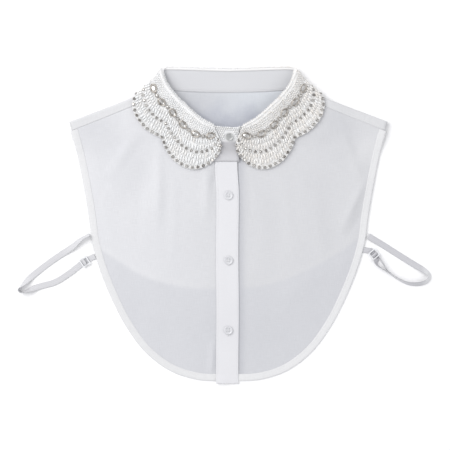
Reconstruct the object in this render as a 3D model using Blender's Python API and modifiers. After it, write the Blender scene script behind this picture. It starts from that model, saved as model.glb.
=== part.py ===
"""A sheer white detachable collar with a beaded scalloped leaf, laid flat with its front up.

Sizes in the tables are millimetres. X runs to the right and Y up toward the back neck, both
from the garment's centre line, and Z is height over the table.
"""

import math

import bmesh
import bpy
import numpy as np

MM = 0.001
NAME = "detachable_shirt_collar"

# Cloth and seams
WALL = 1.2
BAND_WALL = 0.9
GAP = 0.3
GARMENT_SHIFT_X = 3.2

# The shoulder fold is a straight line on each side, down to the tip
TIP_X = 179.8
TIP_Y = 116.5
SHOULDER_SLOPE = 0.375
SEAM_BELOW_FOLD = 10.0

# Heights of the middle of each layer
BACK_ON_TABLE = 0.6
BACK_ON_LEAF = 3.3
FRONT_ON_BACK = 3.3
FRONT_ON_TABLE = 0.7
FOLD_AT_TIP = 5.2
FOLD_AT_NECK = 7.8

BAND_WIDTH = 7.8
HEM_BAND_WIDTH = 6.0
PLACKET_LEFT = -13.6
PLACKET_RIGHT = 12.4
PANEL_MEETS_STAND_X = -9.0
PLACKET_BOTTOM_Y = -176.6
BANDS_TOP_Y = 73.0

# Outline of one half, from the shoulder tip down the armhole to the middle of the hem
OUTLINE = [
    # x, y
    (179.8, 116.5),
    (175.8, 104.2),
    (169.7, 80.6),
    (164.6, 56.0),
    (160.2, 32.5),
    (156.4, 8.3),
    (153.4, -15.7),
    (146.7, -41.4),
    (134.0, -75.0),
    (115.5, -112.0),
    (90.5, -144.5),
    (61.6, -164.6),
    (35.0, -172.6),
    (0.0, -174.2),
]
# Shares of the outline's length: the shoulder seam's end, and the turn from armhole to hem
SEAM_ON_OUTLINE = 0.0285
OUTLINE_CORNER = 0.66

# Lower edge of the back panel, left to right
BACK_HEM = [
    # x, y
    (-150.5, -21.0),
    (-123.1, -38.9),
    (-101.5, -52.1),
    (-77.5, -61.7),
    (-51.1, -67.6),
    (-22.3, -69.6),
    (13.7, -68.6),
    (42.4, -65.3),
    (68.9, -57.0),
    (97.7, -43.7),
    (121.6, -30.0),
    (152.0, -8.0),
]

# Neck seam of one half: front centre, round the side of the neck, back centre
NECK_SEAM = [
    # x, y, side: 1 is on the front layer, -1 is on the back layer
    (0.0, 73.4, 1.0),
    (20.2, 77.3, 1.0),
    (39.2, 85.7, 1.0),
    (58.2, 98.0, 1.0),
    (73.9, 112.0, 1.0),
    (84.4, 126.6, 1.0),
    (89.2, 138.5, 1.0),
    (90.0, 145.5, 0.8),
    (89.2, 149.9, 0.0),
    (86.8, 151.3, -0.8),
    (80.6, 152.3, -1.0),
    (61.6, 151.0, -1.0),
    (31.4, 149.4, -1.0),
    (0.0, 149.0, -1.0),
]

# Fold line of the collar, where the stand meets the leaf, in the same order
NECK_FOLD = [
    # x, y, z
    (0.0, 108.6, 12.0),
    (16.5, 111.0, 12.0),
    (30.5, 118.0, 12.2),
    (43.0, 128.5, 12.4),
    (55.0, 139.8, 12.4),
    (65.0, 150.6, 12.2),
    (71.0, 160.5, 11.6),
    (73.8, 167.5, 10.2),
    (74.8, 171.8, 7.8),
    (73.6, 174.8, 5.4),
    (69.0, 176.0, 3.8),
    (54.0, 176.0, 3.4),
    (28.0, 175.2, 3.3),
    (0.0, 174.4, 3.3),
]

# Scalloped leaf of one half: its fold point and its outer edge
LEAF = [
    # fold x, fold y, fold z, edge x, edge y, side, tier
    (15.0, 110.6, 12.9, 8.0, 92.0, 1.0, 0.6),
    (17.0, 111.3, 12.9, 9.8, 83.0, 1.0, 0.8),
    (20.5, 112.8, 12.8, 15.5, 74.2, 1.0, 1.0),
    (25.0, 115.0, 12.7, 24.0, 67.4, 1.0, 1.0),
    (30.5, 118.2, 12.5, 36.5, 63.2, 1.0, 1.0),
    (36.0, 122.4, 12.3, 48.8, 65.2, 1.0, 1.0),
    (42.0, 127.6, 12.4, 59.5, 71.6, 1.0, 1.0),
    (48.0, 133.2, 12.4, 67.2, 80.4, 1.0, 1.0),
    (54.0, 138.8, 12.4, 72.2, 89.2, 1.0, 0.8),
    (59.0, 144.0, 12.4, 75.0, 97.4, 1.0, 0.5),
    (62.5, 147.8, 12.3, 83.5, 101.8, 1.0, 0.8),
    (65.5, 151.4, 12.2, 92.5, 107.4, 1.0, 1.0),
    (68.5, 155.6, 12.0, 100.0, 115.6, 1.0, 1.0),
    (71.0, 160.3, 11.6, 105.2, 125.0, 1.0, 1.0),
    (72.8, 164.6, 11.0, 107.2, 134.0, 1.0, 1.0),
    (73.8, 167.6, 10.2, 106.4, 140.6, 0.9, 1.0),
    (74.5, 170.0, 9.1, 104.4, 145.2, 0.55, 1.0),
    (74.8, 171.8, 7.8, 102.0, 147.2, 0.0, 1.0),
    (74.3, 173.5, 6.4, 99.5, 146.6, -0.55, 1.0),
    (72.6, 175.2, 5.0, 96.6, 143.4, -0.9, 1.0),
    (69.0, 176.0, 3.8, 92.0, 138.0, -1.0, 0.8),
    (63.5, 176.1, 3.5, 85.0, 136.4, -1.0, 0.5),
    (57.0, 176.0, 3.4, 77.0, 128.6, -1.0, 1.0),
    (49.5, 175.9, 3.4, 64.0, 123.4, -1.0, 1.0),
    (42.0, 175.7, 3.3, 51.0, 124.4, -1.0, 1.0),
    (34.5, 175.4, 3.3, 40.0, 131.2, -1.0, 0.5),
    (25.0, 175.1, 3.3, 29.0, 124.4, -1.0, 1.0),
    (12.5, 174.7, 3.3, 14.0, 120.6, -1.0, 1.0),
    (0.0, 174.4, 3.3, 0.0, 119.6, -1.0, 1.0),
]

# How the leaf runs from the fold to its edge: a lip round the fold, then two tiers of beads
LEAF_PROFILE = [
    # mm from the fold, share of the length, lift in mm, share of the fold's height, thicker by
    (-1.9, 0.00, 0.3, 1.00, 0.0),
    (-1.4, 0.00, 2.0, 1.00, 0.2),
    (1.2, 0.02, 2.5, 0.97, 0.4),
    (0.0, 0.20, 1.5, 0.73, 0.4),
    (0.0, 0.40, 0.7, 0.42, 0.5),
    (0.0, 0.59, 0.2, 0.22, 1.1),
    (0.0, 0.65, 0.1, 0.16, 0.5),
    (0.0, 0.96, 0.0, 0.01, 1.0),
    (0.0, 1.00, 0.0, 0.00, 0.5),
]
LEAF_WALL = 1.0

# Chain on each half of the leaf: framed ovals and small stones by turns, evenly spaced
CHAIN = [
    # place along the leaf table, place across the leaf, half width
    (1.30, 0.31, 1.2),
    (2.15, 0.31, 3.6),
    (3.48, 0.31, 1.6),
    (4.55, 0.31, 3.6),
    (5.53, 0.31, 1.6),
    (6.45, 0.31, 3.6),
    (7.41, 0.31, 1.6),
    (8.47, 0.31, 3.6),
    (9.72, 0.31, 1.6),
    (11.06, 0.31, 3.6),
    (12.30, 0.31, 1.6),
    (13.61, 0.31, 3.6),
    (14.40, 0.31, 1.2),
]
CHAIN_HEIGHT = 1.9

# Soft folds in the front panels
FOLDS = [
    # x, y, end x, end y, half width, height
    (-92.0, 96.0, -138.0, 18.0, 13.0, 1.7),
    (-74.0, 74.0, -86.0, 0.0, 12.0, 1.3),
    (-24.0, 58.0, -20.0, 10.0, 7.0, 1.0),
    (-22.0, -130.0, -18.0, -166.0, 6.0, 0.9),
    (118.0, 118.0, 134.0, 78.0, 12.0, 1.6),
    (152.0, 60.0, 128.0, -10.0, 12.0, 1.6),
    (78.0, 78.0, 94.0, -20.0, 15.0, 1.2),
    (34.0, 44.0, 40.0, -60.0, 14.0, 0.9),
]

# Straps as ribbons: the middle line, and the turn of the width from flat
STRAP_WIDTH = 6.8
STRAP_WALL = 1.0
STRAP_LEFT = [
    # x, y, z, turn in degrees
    (-155.4, -9.6, 3.7, 64.0),
    (-160.5, -12.2, 3.7, 62.0),
    (-166.3, -15.8, 3.2, 50.0),
    (-175.3, -23.6, 1.8, 22.0),
    (-186.5, -31.2, 0.7, 3.0),
    (-197.7, -38.8, 0.6, 0.0),
    (-212.4, -49.8, 0.6, 0.0),
    (-222.0, -57.6, 1.1, 10.0),
    (-229.6, -65.0, 2.9, 50.0),
    (-234.2, -69.0, 3.5, 84.0),
    (-235.2, -72.2, 3.5, 90.0),
    (-232.2, -74.4, 3.5, 96.0),
    (-225.6, -72.8, 3.2, 120.0),
    (-217.2, -69.6, 1.4, 166.0),
    (-208.9, -67.2, 0.6, 180.0),
    (-194.0, -62.8, 0.6, 180.0),
    (-178.4, -53.0, 0.6, 180.0),
    (-168.6, -45.4, 0.6, 180.0),
]
STRAP_RIGHT = [
    # x, y, z, turn in degrees
    (158.0, -12.0, 3.4, 0.0),
    (164.6, -16.2, 2.0, 0.0),
    (174.2, -21.8, 0.7, 0.0),
    (186.5, -29.6, 0.6, 0.0),
    (199.4, -37.8, 0.6, 0.0),
    (211.0, -44.8, 0.9, -8.0),
    (219.4, -49.4, 2.6, -40.0),
    (225.6, -53.2, 3.5, -84.0),
    (227.2, -57.0, 3.5, -90.0),
    (224.4, -62.2, 3.5, -92.0),
    (217.8, -65.6, 3.5, -98.0),
    (207.8, -66.0, 3.5, -106.0),
    (199.0, -64.4, 3.4, -114.0),
    (189.6, -59.6, 2.6, -134.0),
    (180.0, -52.4, 1.1, -166.0),
    (171.8, -45.6, 0.6, -180.0),
    (167.8, -39.4, 0.6, -180.0),
]
TAB_WIDTH = 6.2

# Sliders: three bars across the strap between two rails
SLIDER_BAR = 1.2
SLIDER_PITCH = 4.2
SLIDER_BASE_Z = 1.9
SLIDER_INSIDE = 7.6
SLIDERS = {
    # centre x, centre y, direction in degrees, the tab's end x, end y, end z
    "left": (-161.2, -40.0, 32.0, -149.6, -34.0, 0.7),
    "right": (163.2, -31.6, 131.0, 149.6, -26.6, 0.7),
}

# Buttons: name, x, y, and the radius
BUTTONS = [
    ("button_1", 0.0, 34.2, 5.0),
    ("button_2", 0.1, -38.4, 5.0),
    ("button_3", -0.2, -116.8, 5.0),
]
BUTTON_SECTION = [
    # radius share, height
    (0.0, 0.0),
    (0.80, 0.0),
    (1.00, 0.7),
    (1.00, 1.5),
    (0.90, 2.1),
    (0.74, 2.1),
    (0.64, 1.5),
    (0.0, 1.3),
]
BUTTON_STEPS = 18
HOLE_RADIUS = 0.75
HOLE_OFFSET = 1.25
NECK_BUTTON = (1.2, 99.4, 4.4)


def clear_file():
    for obj in list(bpy.data.objects):
        bpy.data.objects.remove(obj, do_unlink=True)


def material(name, color, roughness, metallic=0.0):
    made = bpy.data.materials.new(name)
    made.use_nodes = True
    shader = made.node_tree.nodes["Principled BSDF"]
    shader.inputs["Base Color"].default_value = (*color, 1.0)
    shader.inputs["Roughness"].default_value = roughness
    shader.inputs["Metallic"].default_value = metallic
    return made


def smooth(value, start, end):
    """0 before start and 1 after end, with a soft S between them."""
    share = np.clip((np.asarray(value, float) - start) / (end - start), 0.0, 1.0)
    return share * share * (3.0 - 2.0 * share)


def through(rows, at, knots=None):
    """Smooth curve through the rows of a table, at places from 0 to 1 by its length."""
    rows = np.array(rows, float)
    if knots is None:
        steps = np.linalg.norm(np.diff(rows[:, :2], axis=0), axis=1)
        knots = np.concatenate([[0.0], np.cumsum(steps)]) / steps.sum()
    at = np.asarray(at, float)
    slopes = np.gradient(rows, knots, axis=0)
    low = np.clip(np.searchsorted(knots, at, side="right") - 1, 0, len(knots) - 2)
    span = (knots[low + 1] - knots[low])[:, None]
    s = ((at - knots[low])[:, None]) / span
    start = (2 * s**3 - 3 * s**2 + 1) * rows[low] + (s**3 - 2 * s**2 + s) * span * slopes[low]
    end = (3 * s**2 - 2 * s**3) * rows[low + 1] + (s**3 - s**2) * span * slopes[low + 1]
    return start + end


def by_row(rows, at):
    """Smooth curve through the rows of a table, at places counted in rows."""
    return through(rows, at, np.arange(len(rows), dtype=float))


def evenly(rows, count, start=0.0, end=1.0):
    """Points at equal steps of length along a curve, from one share of it to another."""
    fine = through(rows, np.linspace(0.0, 1.0, 600))
    steps = np.linalg.norm(np.diff(fine[:, :2], axis=0), axis=1)
    length = np.concatenate([[0.0], np.cumsum(steps)]) / steps.sum()
    wanted = np.linspace(start, end, count)
    return np.stack([np.interp(wanted, length, column) for column in fine.T], axis=1)


def shoulder_y(x):
    """Height on the table of the shoulder fold line at x, for either side."""
    return TIP_Y + (TIP_X - np.abs(x)) * SHOULDER_SLOPE


def fold_height(x):
    """Height over the table of the front layer at the shoulder fold."""
    return FOLD_AT_NECK + (FOLD_AT_TIP - FOLD_AT_NECK) * smooth(np.abs(x), 110.0, 150.0)


def back_z(x, y):
    """Middle of the back layer: on the table, and lifted where the leaf lies under it."""
    lift = smooth(y, 88.0, 108.0) * (1.0 - smooth(np.abs(x), 110.0, 124.0))
    return BACK_ON_TABLE + (BACK_ON_LEAF - BACK_ON_TABLE) * lift


def front_z(x, y):
    """Middle of the front layer, with its soft folds and its rise to the shoulder."""
    hem = np.array(BACK_HEM)
    hem_y = np.interp(x, hem[:, 0], hem[:, 1])
    over_back = smooth(y, hem_y - 38.0, hem_y - 13.0)
    base = FRONT_ON_TABLE + (FRONT_ON_BACK - FRONT_ON_TABLE) * over_back
    base = base + (back_z(x, y) - BACK_ON_TABLE) * 0.75
    for x0, y0, x1, y1, half_width, height in FOLDS:
        along = np.array([x1 - x0, y1 - y0])
        length = np.linalg.norm(along)
        along = along / length
        s = ((x - x0) * along[0] + (y - y0) * along[1]) / length
        across = (x - x0) * along[1] - (y - y0) * along[0]
        ends = np.clip(4.0 * s * (1.0 - s), 0.0, 1.0)
        base = base + height * ends * np.exp(-((across / half_width) ** 2))
    below = np.maximum(shoulder_y(x) - y, 0.0) * math.cos(math.atan(SHOULDER_SLOPE))
    rise = np.exp(-((below / 30.0) ** 2)) * smooth(y, 70.0, 100.0)
    return base + (fold_height(x) - base) * rise


def on_front(points, lift=0.0):
    """Put table points on the middle of the front layer."""
    x, y = points[..., 0], points[..., 1]
    return np.stack([x, y, front_z(x, y) + lift], axis=-1)


def on_back(points, lift=0.0):
    x, y = points[..., 0], points[..., 1]
    return np.stack([x, y, back_z(x, y) + lift], axis=-1)


def mirrored(points):
    flipped = np.array(points, float)
    flipped[..., 0] *= -1.0
    return flipped


def normals(grid):
    """Unit normal at each point of a grid of points."""
    down = np.gradient(grid, axis=0)
    along = np.gradient(grid, axis=1)
    across = np.cross(down, along)
    return across / np.maximum(np.linalg.norm(across, axis=-1, keepdims=True), 1e-9)


def solid(name, upper, lower, finish, keep=None, pinched=None):
    """Closed solid between two grids of points, less the cells that are left out.

    A pinched cell has no area: its sides need no wall, and its corners are merged."""
    rows, columns = upper.shape[:2]
    cells = np.ones((rows - 1, columns - 1), bool) if keep is None else keep
    pinched = np.zeros_like(cells) if pinched is None else pinched
    mesh = bmesh.new()
    top = [[mesh.verts.new(p * MM) for p in row] for row in upper]
    bottom = [[mesh.verts.new(p * MM) for p in row] for row in lower]

    def present(r, c):
        inside = 0 <= r < rows - 1 and 0 <= c < columns - 1
        return inside and (cells[r, c] or pinched[r, c])

    for r in range(rows - 1):
        for c in range(columns - 1):
            if not cells[r, c] or pinched[r, c]:
                continue
            mesh.faces.new([top[r][c], top[r][c + 1], top[r + 1][c + 1], top[r + 1][c]])
            mesh.faces.new([bottom[r][c], bottom[r + 1][c], bottom[r + 1][c + 1], bottom[r][c + 1]])
            sides = [
                (r - 1, c, (r, c), (r, c + 1)),
                (r, c + 1, (r, c + 1), (r + 1, c + 1)),
                (r + 1, c, (r + 1, c + 1), (r + 1, c)),
                (r, c - 1, (r + 1, c), (r, c)),
            ]
            for next_r, next_c, a, b in sides:
                if not present(next_r, next_c):
                    edge = [top[b[0]][b[1]], top[a[0]][a[1]], bottom[a[0]][a[1]], bottom[b[0]][b[1]]]
                    mesh.faces.new(edge)
    return finished(name, mesh, finish)


def finished(name, mesh, finish):
    """Turn a bmesh into a named object with outward faces and its material."""
    bmesh.ops.remove_doubles(mesh, verts=mesh.verts, dist=1e-6)
    loose = [v for v in mesh.verts if not v.link_faces]
    bmesh.ops.delete(mesh, geom=loose, context="VERTS")
    bmesh.ops.recalc_face_normals(mesh, faces=mesh.faces)
    if mesh.calc_volume(signed=True) < 0.0:
        bmesh.ops.reverse_faces(mesh, faces=mesh.faces)
    data = bpy.data.meshes.new(name)
    mesh.to_mesh(data)
    mesh.free()
    for polygon in data.polygons:
        polygon.use_smooth = True
    data.materials.append(finish)
    obj = bpy.data.objects.new(name, data)
    obj.location.x = GARMENT_SHIFT_X * MM
    collection.objects.link(obj)
    return obj


def cloth(name, grid, thickness, finish, keep=None, pinched=None):
    """Cloth of even thickness with its middle on the grid."""
    out = normals(grid) * thickness / 2.0
    return solid(name, grid + out, grid - out, finish, keep, pinched)


def offset_inward(curve, distance):
    """Points moved square off a curve toward the garment's middle."""
    along = np.gradient(curve[:, :2], axis=0)
    along = along / np.linalg.norm(along, axis=1, keepdims=True)
    inward = np.stack([along[:, 1], -along[:, 0]], axis=1)
    return curve[:, :2] + inward * distance


def patch(top, bottom, left, right):
    """Grid that fills four border curves: a blend of the opposite borders, less the corners."""
    u = np.linspace(0.0, 1.0, len(top))[None, :, None]
    v = np.linspace(0.0, 1.0, len(left))[:, None, None]
    across = (1 - v) * top[None] + v * bottom[None]
    down = (1 - u) * left[:, None] + u * right[:, None]
    corners = (
        (1 - u) * (1 - v) * top[0] + u * (1 - v) * top[-1]
        + (1 - u) * v * bottom[0] + u * v * bottom[-1]
    )
    return across + down - corners


def shoulder_columns(count):
    """Points along the shoulder fold from the tip to the neck, and on the front seam."""
    share = np.linspace(0.0, 1.0, count)[:, None]
    neck_x = 91.6
    fold = (1 - share) * [TIP_X - 1.4, TIP_Y + 0.5] + share * [neck_x, shoulder_y(neck_x)]
    tip_seam = np.array([TIP_X - 4.6, TIP_Y - SEAM_BELOW_FOLD + 0.2])
    neck_seam = np.array([neck_x + 1.4, shoulder_y(neck_x) - SEAM_BELOW_FOLD - 0.4])
    return fold, (1 - share) * tip_seam + share * neck_seam


# Front panels, with their edge bands

def front_half(side, inner_x, band_end, panel_name, band_name):
    """One front panel and its edge band; side is -1 for the image's left."""
    down_count, across_count = 15, 13
    right_out = evenly(OUTLINE, down_count, SEAM_ON_OUTLINE, OUTLINE_CORNER)
    bottom_out = evenly(OUTLINE, across_count, 1.0, OUTLINE_CORNER)
    bottom_out[:, 0] = np.maximum(bottom_out[:, 0], inner_x)
    right_in = offset_inward(right_out, BAND_WIDTH)
    bottom_in = offset_inward(bottom_out, -BAND_WIDTH)
    bottom_in[0] = (inner_x, bottom_out[0, 1] + BAND_WIDTH)
    bottom_in[-1] = right_in[-1]
    fold, seam = shoulder_columns(6)
    seam = seam - [0.1, 1.0]
    seam[0] = right_out[0]
    neck = through([row[:2] for row in NECK_SEAM[:7]], np.linspace(0.0, 1.0, 9))
    neck = neck[neck[:, 0] > inner_x + 2.0]
    start = np.array([[inner_x, np.interp(inner_x, neck[:, 0], neck[:, 1]) - 0.2]])
    start[0, 1] = 72.3
    neck = np.concatenate([start, neck + [0.3, -0.9]])
    top_line = np.concatenate([neck, seam[::-1][:-1], right_in[:1]])
    top_line[-1] = seam[0] * 0.15 + right_in[0] * 0.85
    right_in[0] = top_line[-1]
    steps = np.linalg.norm(np.diff(top_line, axis=0), axis=1)
    length = np.concatenate([[0.0], np.cumsum(steps)]) / steps.sum()
    corner = length[len(neck) - 1]
    inner_share = np.linspace(0.0, corner, 8)
    outer_share = np.linspace(corner, 1.0, across_count - 7)[1:]
    share = np.concatenate([inner_share, outer_share])
    top = np.stack([np.interp(share, length, column) for column in top_line.T], axis=1)
    left = np.linspace(top[0], bottom_in[0], down_count)
    grid = patch(top, bottom_in, left, right_in)
    full = np.zeros((down_count + 1, across_count + 1, 2))
    full[:-1, :-1] = grid
    full[:-1, -1] = right_out
    full[-1, :-1] = bottom_out
    full[-1, -1] = right_out[-1]
    full[..., 0] *= side
    if side < 0:
        full = full[:, ::-1]
    points = on_front(full)
    keep = np.ones((down_count, across_count), bool)
    pinched = np.zeros_like(keep)
    pinched[-1, 0 if side < 0 else -1] = True
    cloth(panel_name, points, WALL, voile, keep, pinched)

    outer = np.concatenate([right_out, bottom_out[::-1][1:]])
    inner = np.concatenate([right_in, bottom_in[::-1][1:]])
    strip = np.stack([inner, outer], axis=1)[:-1]
    strip[-1, :, 0] = band_end
    strip[..., 0] *= side
    flat = on_front(strip)
    base = flat + [0.0, 0.0, WALL / 2.0 + GAP + 0.1]
    solid(band_name, base + [0.0, 0.0, BAND_WALL], base, voile)


# Placket and button stand

def centre_bands():
    y = np.linspace(BANDS_TOP_Y, PLACKET_BOTTOM_Y, 26)
    x = np.array([PLACKET_LEFT, -6.0, 0.0, 6.0, PLACKET_RIGHT])
    grid = np.stack(np.meshgrid(x, y), axis=-1)
    lifted = on_front(grid)
    lifted[..., 2] = front_z(np.zeros_like(grid[..., 0]), grid[..., 1])
    lifted[..., 2] = np.maximum(lifted[..., 2], front_z(grid[..., 0], grid[..., 1]))
    lifted[..., 2] += WALL + GAP + 0.4
    cloth("placket", lifted[:, ::-1], WALL, voile)
    y = np.linspace(BANDS_TOP_Y, PLACKET_BOTTOM_Y + 1.4, 22)
    x = np.array([PANEL_MEETS_STAND_X + GAP, 0.0, PLACKET_RIGHT - 2.2])
    grid = on_front(np.stack(np.meshgrid(x, y), axis=-1))
    cloth("button_stand", grid[:, ::-1], WALL, voile)
    return lifted


# Back panel with its shoulders, and its hem band

def back_panel():
    shoulder_count = 6
    fold, seam = shoulder_columns(shoulder_count)
    neck_back = through([row[:2] for row in NECK_SEAM[10:]], np.linspace(0.0, 1.0, 6))
    neck_back = neck_back + [0.0, -0.7]
    cos = math.cos(math.atan(SHOULDER_SLOPE))
    outward = np.array([SHOULDER_SLOPE * cos, cos])
    front_height = fold_height(fold[:, 0])
    back_height = back_z(fold[:, 0], fold[:, 1])
    radius = (front_height - back_height) / 2.0
    centre = fold - outward * (radius + WALL / 2.0)[:, None]
    turn_rows = []
    for angle in np.radians([-90.0, -60.0, -30.0, 0.0, 30.0, 60.0, 90.0]):
        plan = centre + outward * (radius * math.cos(angle))[:, None]
        height = (front_height + back_height) / 2.0 + radius * math.sin(angle)
        turn_rows.append(np.column_stack([plan, height]))
    for share in (0.5, 1.0):
        plan = (1 - share) * centre + share * seam
        turn_rows.append(on_front(plan))
    turn = np.array(turn_rows)
    neck = np.column_stack([neck_back, back_z(neck_back[:, 0], neck_back[:, 1])])
    half_top = np.concatenate([turn[0], neck])
    top = np.concatenate([mirrored(half_top), half_top[::-1][1:]])
    hem = evenly(BACK_HEM, len(top))
    outline = through(OUTLINE, np.linspace(0.0, 1.0, 400))
    rows = 12
    armhole = []
    for end in (hem[0], hem[-1]):
        y = np.linspace(top[0, 1], end[1], rows)
        x = np.interp(-y, -outline[:, 1], outline[:, 0]) - 1.6
        armhole.append(np.stack([x * np.sign(end[0]), y], axis=1))
    armhole[0][0] = top[0, :2]
    armhole[1][0] = top[-1, :2]
    hem[0] = armhole[0][-1]
    hem[-1] = armhole[1][-1]
    above_hem = hem + [0.0, HEM_BAND_WIDTH]
    above_hem[0] = armhole[0][-1] * 0.55 + armhole[0][-2] * 0.45
    above_hem[-1] = armhole[1][-1] * 0.55 + armhole[1][-2] * 0.45
    for index, end in ((0, 0), (1, -1)):
        armhole[index] = np.concatenate([armhole[index][:-1], above_hem[end][None]])
    body = on_back(patch(top[:, :2], above_hem, armhole[0], armhole[1]))
    body[0] = top
    hem_row = on_back(hem)[None]
    wraps = np.zeros((len(turn) - 1, len(top), 3))
    wraps[:, :shoulder_count] = mirrored(turn[1:])
    wraps[:, -shoulder_count:] = turn[1:, ::-1]
    wraps[:, shoulder_count:-shoulder_count] = top[shoulder_count:-shoulder_count]
    grid = np.concatenate([wraps[::-1], body, hem_row])
    keep = np.ones((grid.shape[0] - 1, grid.shape[1] - 1), bool)
    keep[: len(wraps), shoulder_count - 1 : -(shoulder_count - 1)] = False
    out = normals(grid)
    first = len(wraps)
    neck_columns = slice(shoulder_count, -shoulder_count)
    flat = normals(grid[first:])
    out[first:, neck_columns] = flat[:, neck_columns]
    out[first] = [0.0, 0.0, 1.0] * np.sign(flat[0][:, 2:3])
    solid("back_panel", grid + out * WALL / 2.0, grid - out * WALL / 2.0, voile, keep)
    strip = np.stack([on_back(above_hem), on_back(hem)])
    base = strip + [0.0, 0.0, WALL / 2.0 + GAP + 0.05]
    solid("back_hem_band", base + [0.0, 0.0, BAND_WALL], base, voile)


# Collar stand and leaf

def side_height(x, y, side):
    """Height of the body's middle at the neck seam: front layer, back layer or between."""
    front = front_z(x, y)
    back = back_z(x, y)
    return (front + back) / 2.0 + side * (front - back) / 2.0


def stand():
    per_row = 2
    at = np.linspace(0.0, len(NECK_SEAM) - 1.0, per_row * (len(NECK_SEAM) - 1) + 1)
    seam = by_row(NECK_SEAM, at)
    fold = by_row(NECK_FOLD, at)
    seam_z = side_height(seam[:, 0], seam[:, 1], np.clip(seam[:, 2], -1.0, 1.0))
    half_seam = np.column_stack([seam[:, :2], seam_z])
    left_seam, left_fold = mirrored(half_seam), mirrored(fold)
    seam_line = np.concatenate([left_seam, half_seam[::-1][1:]])
    fold_line = np.concatenate([left_fold, fold[::-1][1:]])
    seam_line[0, 0], fold_line[0, 0] = 11.0, 10.0
    seam_line[-1, 0], fold_line[-1, 0] = -9.5, -9.5
    shares = np.array([0.02, 0.35, 0.7, 1.0])[None, :, None]
    grid = (1 - shares) * seam_line[:, None] + shares * fold_line[:, None]
    count = len(seam_line)
    place = np.arange(count)
    over = 1.0 - smooth(place, 2.0, 8.0)
    under = smooth(place, count - 9.0, count - 3.0)
    grid[..., 2] += (over * 0.8 - under * 0.9)[:, None]
    cloth("collar_stand", grid[:, ::-1], WALL, voile)
    return grid


def clear_of_body(points, needed):
    """Push the leaf's points out of the two body layers and of the turn at the shoulder."""
    points = points.copy()
    cos = math.cos(math.atan(SHOULDER_SLOPE))
    x = np.abs(points[..., 0])
    out = (points[..., 1] - shoulder_y(x)) * cos
    foot_x = x - np.maximum(out, 0.0) * SHOULDER_SLOPE * cos
    foot_y = points[..., 1] - np.maximum(out + 4.0, 0.0) * cos
    front = front_z(foot_x * np.sign(points[..., 0] + 1e-9), foot_y)
    back = back_z(foot_x, foot_y)
    half = (front - back) / 2.0 + WALL / 2.0
    middle = (front + back) / 2.0
    beyond = np.maximum(out + half, 0.0)
    rise = points[..., 2] - middle
    distance = np.maximum(np.hypot(beyond, rise), 1e-6)
    short = np.maximum(half + needed - distance, 0.0) * (x > 86.0)
    points[..., 2] += short * rise / distance
    push = short * beyond / distance
    points[..., 1] += push * cos
    points[..., 0] += np.sign(points[..., 0]) * push * SHOULDER_SLOPE * cos
    return points


def clear_of_stand(points, stand_points, needed):
    """Lift the front of the leaf off the stand under it."""
    points = points.copy()
    spots = stand_points.reshape(-1, 3)
    spots = spots[spots[:, 2] > 3.5]
    for index in np.ndindex(points.shape[:2]):
        point = points[index]
        if point[2] < 4.0 or point[1] > 150.0:
            continue
        away = np.hypot(np.abs(spots[:, 0]) - abs(point[0]), spots[:, 1] - point[1])
        near = spots[away < 3.0]
        if len(near):
            point[2] = max(point[2], near[:, 2].max() + needed)
    return points


def leaf(stand_grid):
    per_row = 2
    at = np.linspace(0.0, len(LEAF) - 1.0, per_row * (len(LEAF) - 1) + 1)
    rows = by_row(LEAF, at)
    fold = mirrored(rows[:, :3])
    edge_xy = mirrored(rows[:, 3:5])
    side = np.clip(rows[:, 5], -1.0, 1.0)
    tier = rows[:, 6]
    inside_y = np.minimum(edge_xy[:, 1], shoulder_y(edge_xy[:, 0]) - 4.0)
    front = front_z(edge_xy[:, 0], inside_y) + WALL / 2.0 + GAP + 0.9
    back = back_z(edge_xy[:, 0], inside_y) - WALL / 2.0 - GAP - LEAF_WALL / 2.0
    edge_z = (front + back) / 2.0 + side * (front - back) / 2.0
    edge = np.column_stack([edge_xy, edge_z])
    down = edge - fold
    down_unit = down / np.linalg.norm(down, axis=1, keepdims=True)
    along = np.gradient(fold, axis=0)
    along[-1] = (1.0, 0.0, 0.0)
    out = np.cross(along, down_unit)
    out = out / np.linalg.norm(out, axis=1, keepdims=True)
    profile = np.array(LEAF_PROFILE)
    grid = np.zeros((len(fold), len(profile), 3))
    extra = np.zeros((len(fold), len(profile)))
    for column, (reach, share, lift, height_share, thick) in enumerate(profile):
        point = fold + down * share + down_unit * reach
        level = edge[:, 2] + (fold[:, 2] - edge[:, 2]) * height_share
        blend = np.abs(side) ** 2
        point[:, 2] = point[:, 2] * (1 - blend) + level * blend
        grid[:, column] = point + out * lift
        extra[:, column] = thick * (tier if share > 0.3 else 1.0)
    grid = clear_of_body(grid, GAP + LEAF_WALL / 2.0 + 0.15)
    fine = np.linspace(0.0, len(stand_grid) - 1.0, 4 * len(stand_grid))
    fine = np.stack([by_row(stand_grid[:, k], fine) for k in range(4)], axis=1)
    shares = np.linspace(0.0, 3.0, 25)
    dense = np.stack([by_row(row, shares) for row in fine])
    grid[:, 2:] = clear_of_stand(grid[:, 2:], dense, WALL / 2.0 + GAP + LEAF_WALL / 2.0 + 0.1)
    full = np.concatenate([grid, mirrored(grid[::-1][1:])])
    extra = np.concatenate([extra, extra[::-1][1:]])[..., None]
    out = normals(full)
    if out[2, 4, 2] < 0:
        out = -out
    inner = full - out * LEAF_WALL / 2.0
    outer = full + out * (LEAF_WALL / 2.0 + extra)
    outer[..., 2] = np.maximum(outer[..., 2], 0.0)
    solid("collar_leaf", outer, inner, beaded)
    return outer, out


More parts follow.
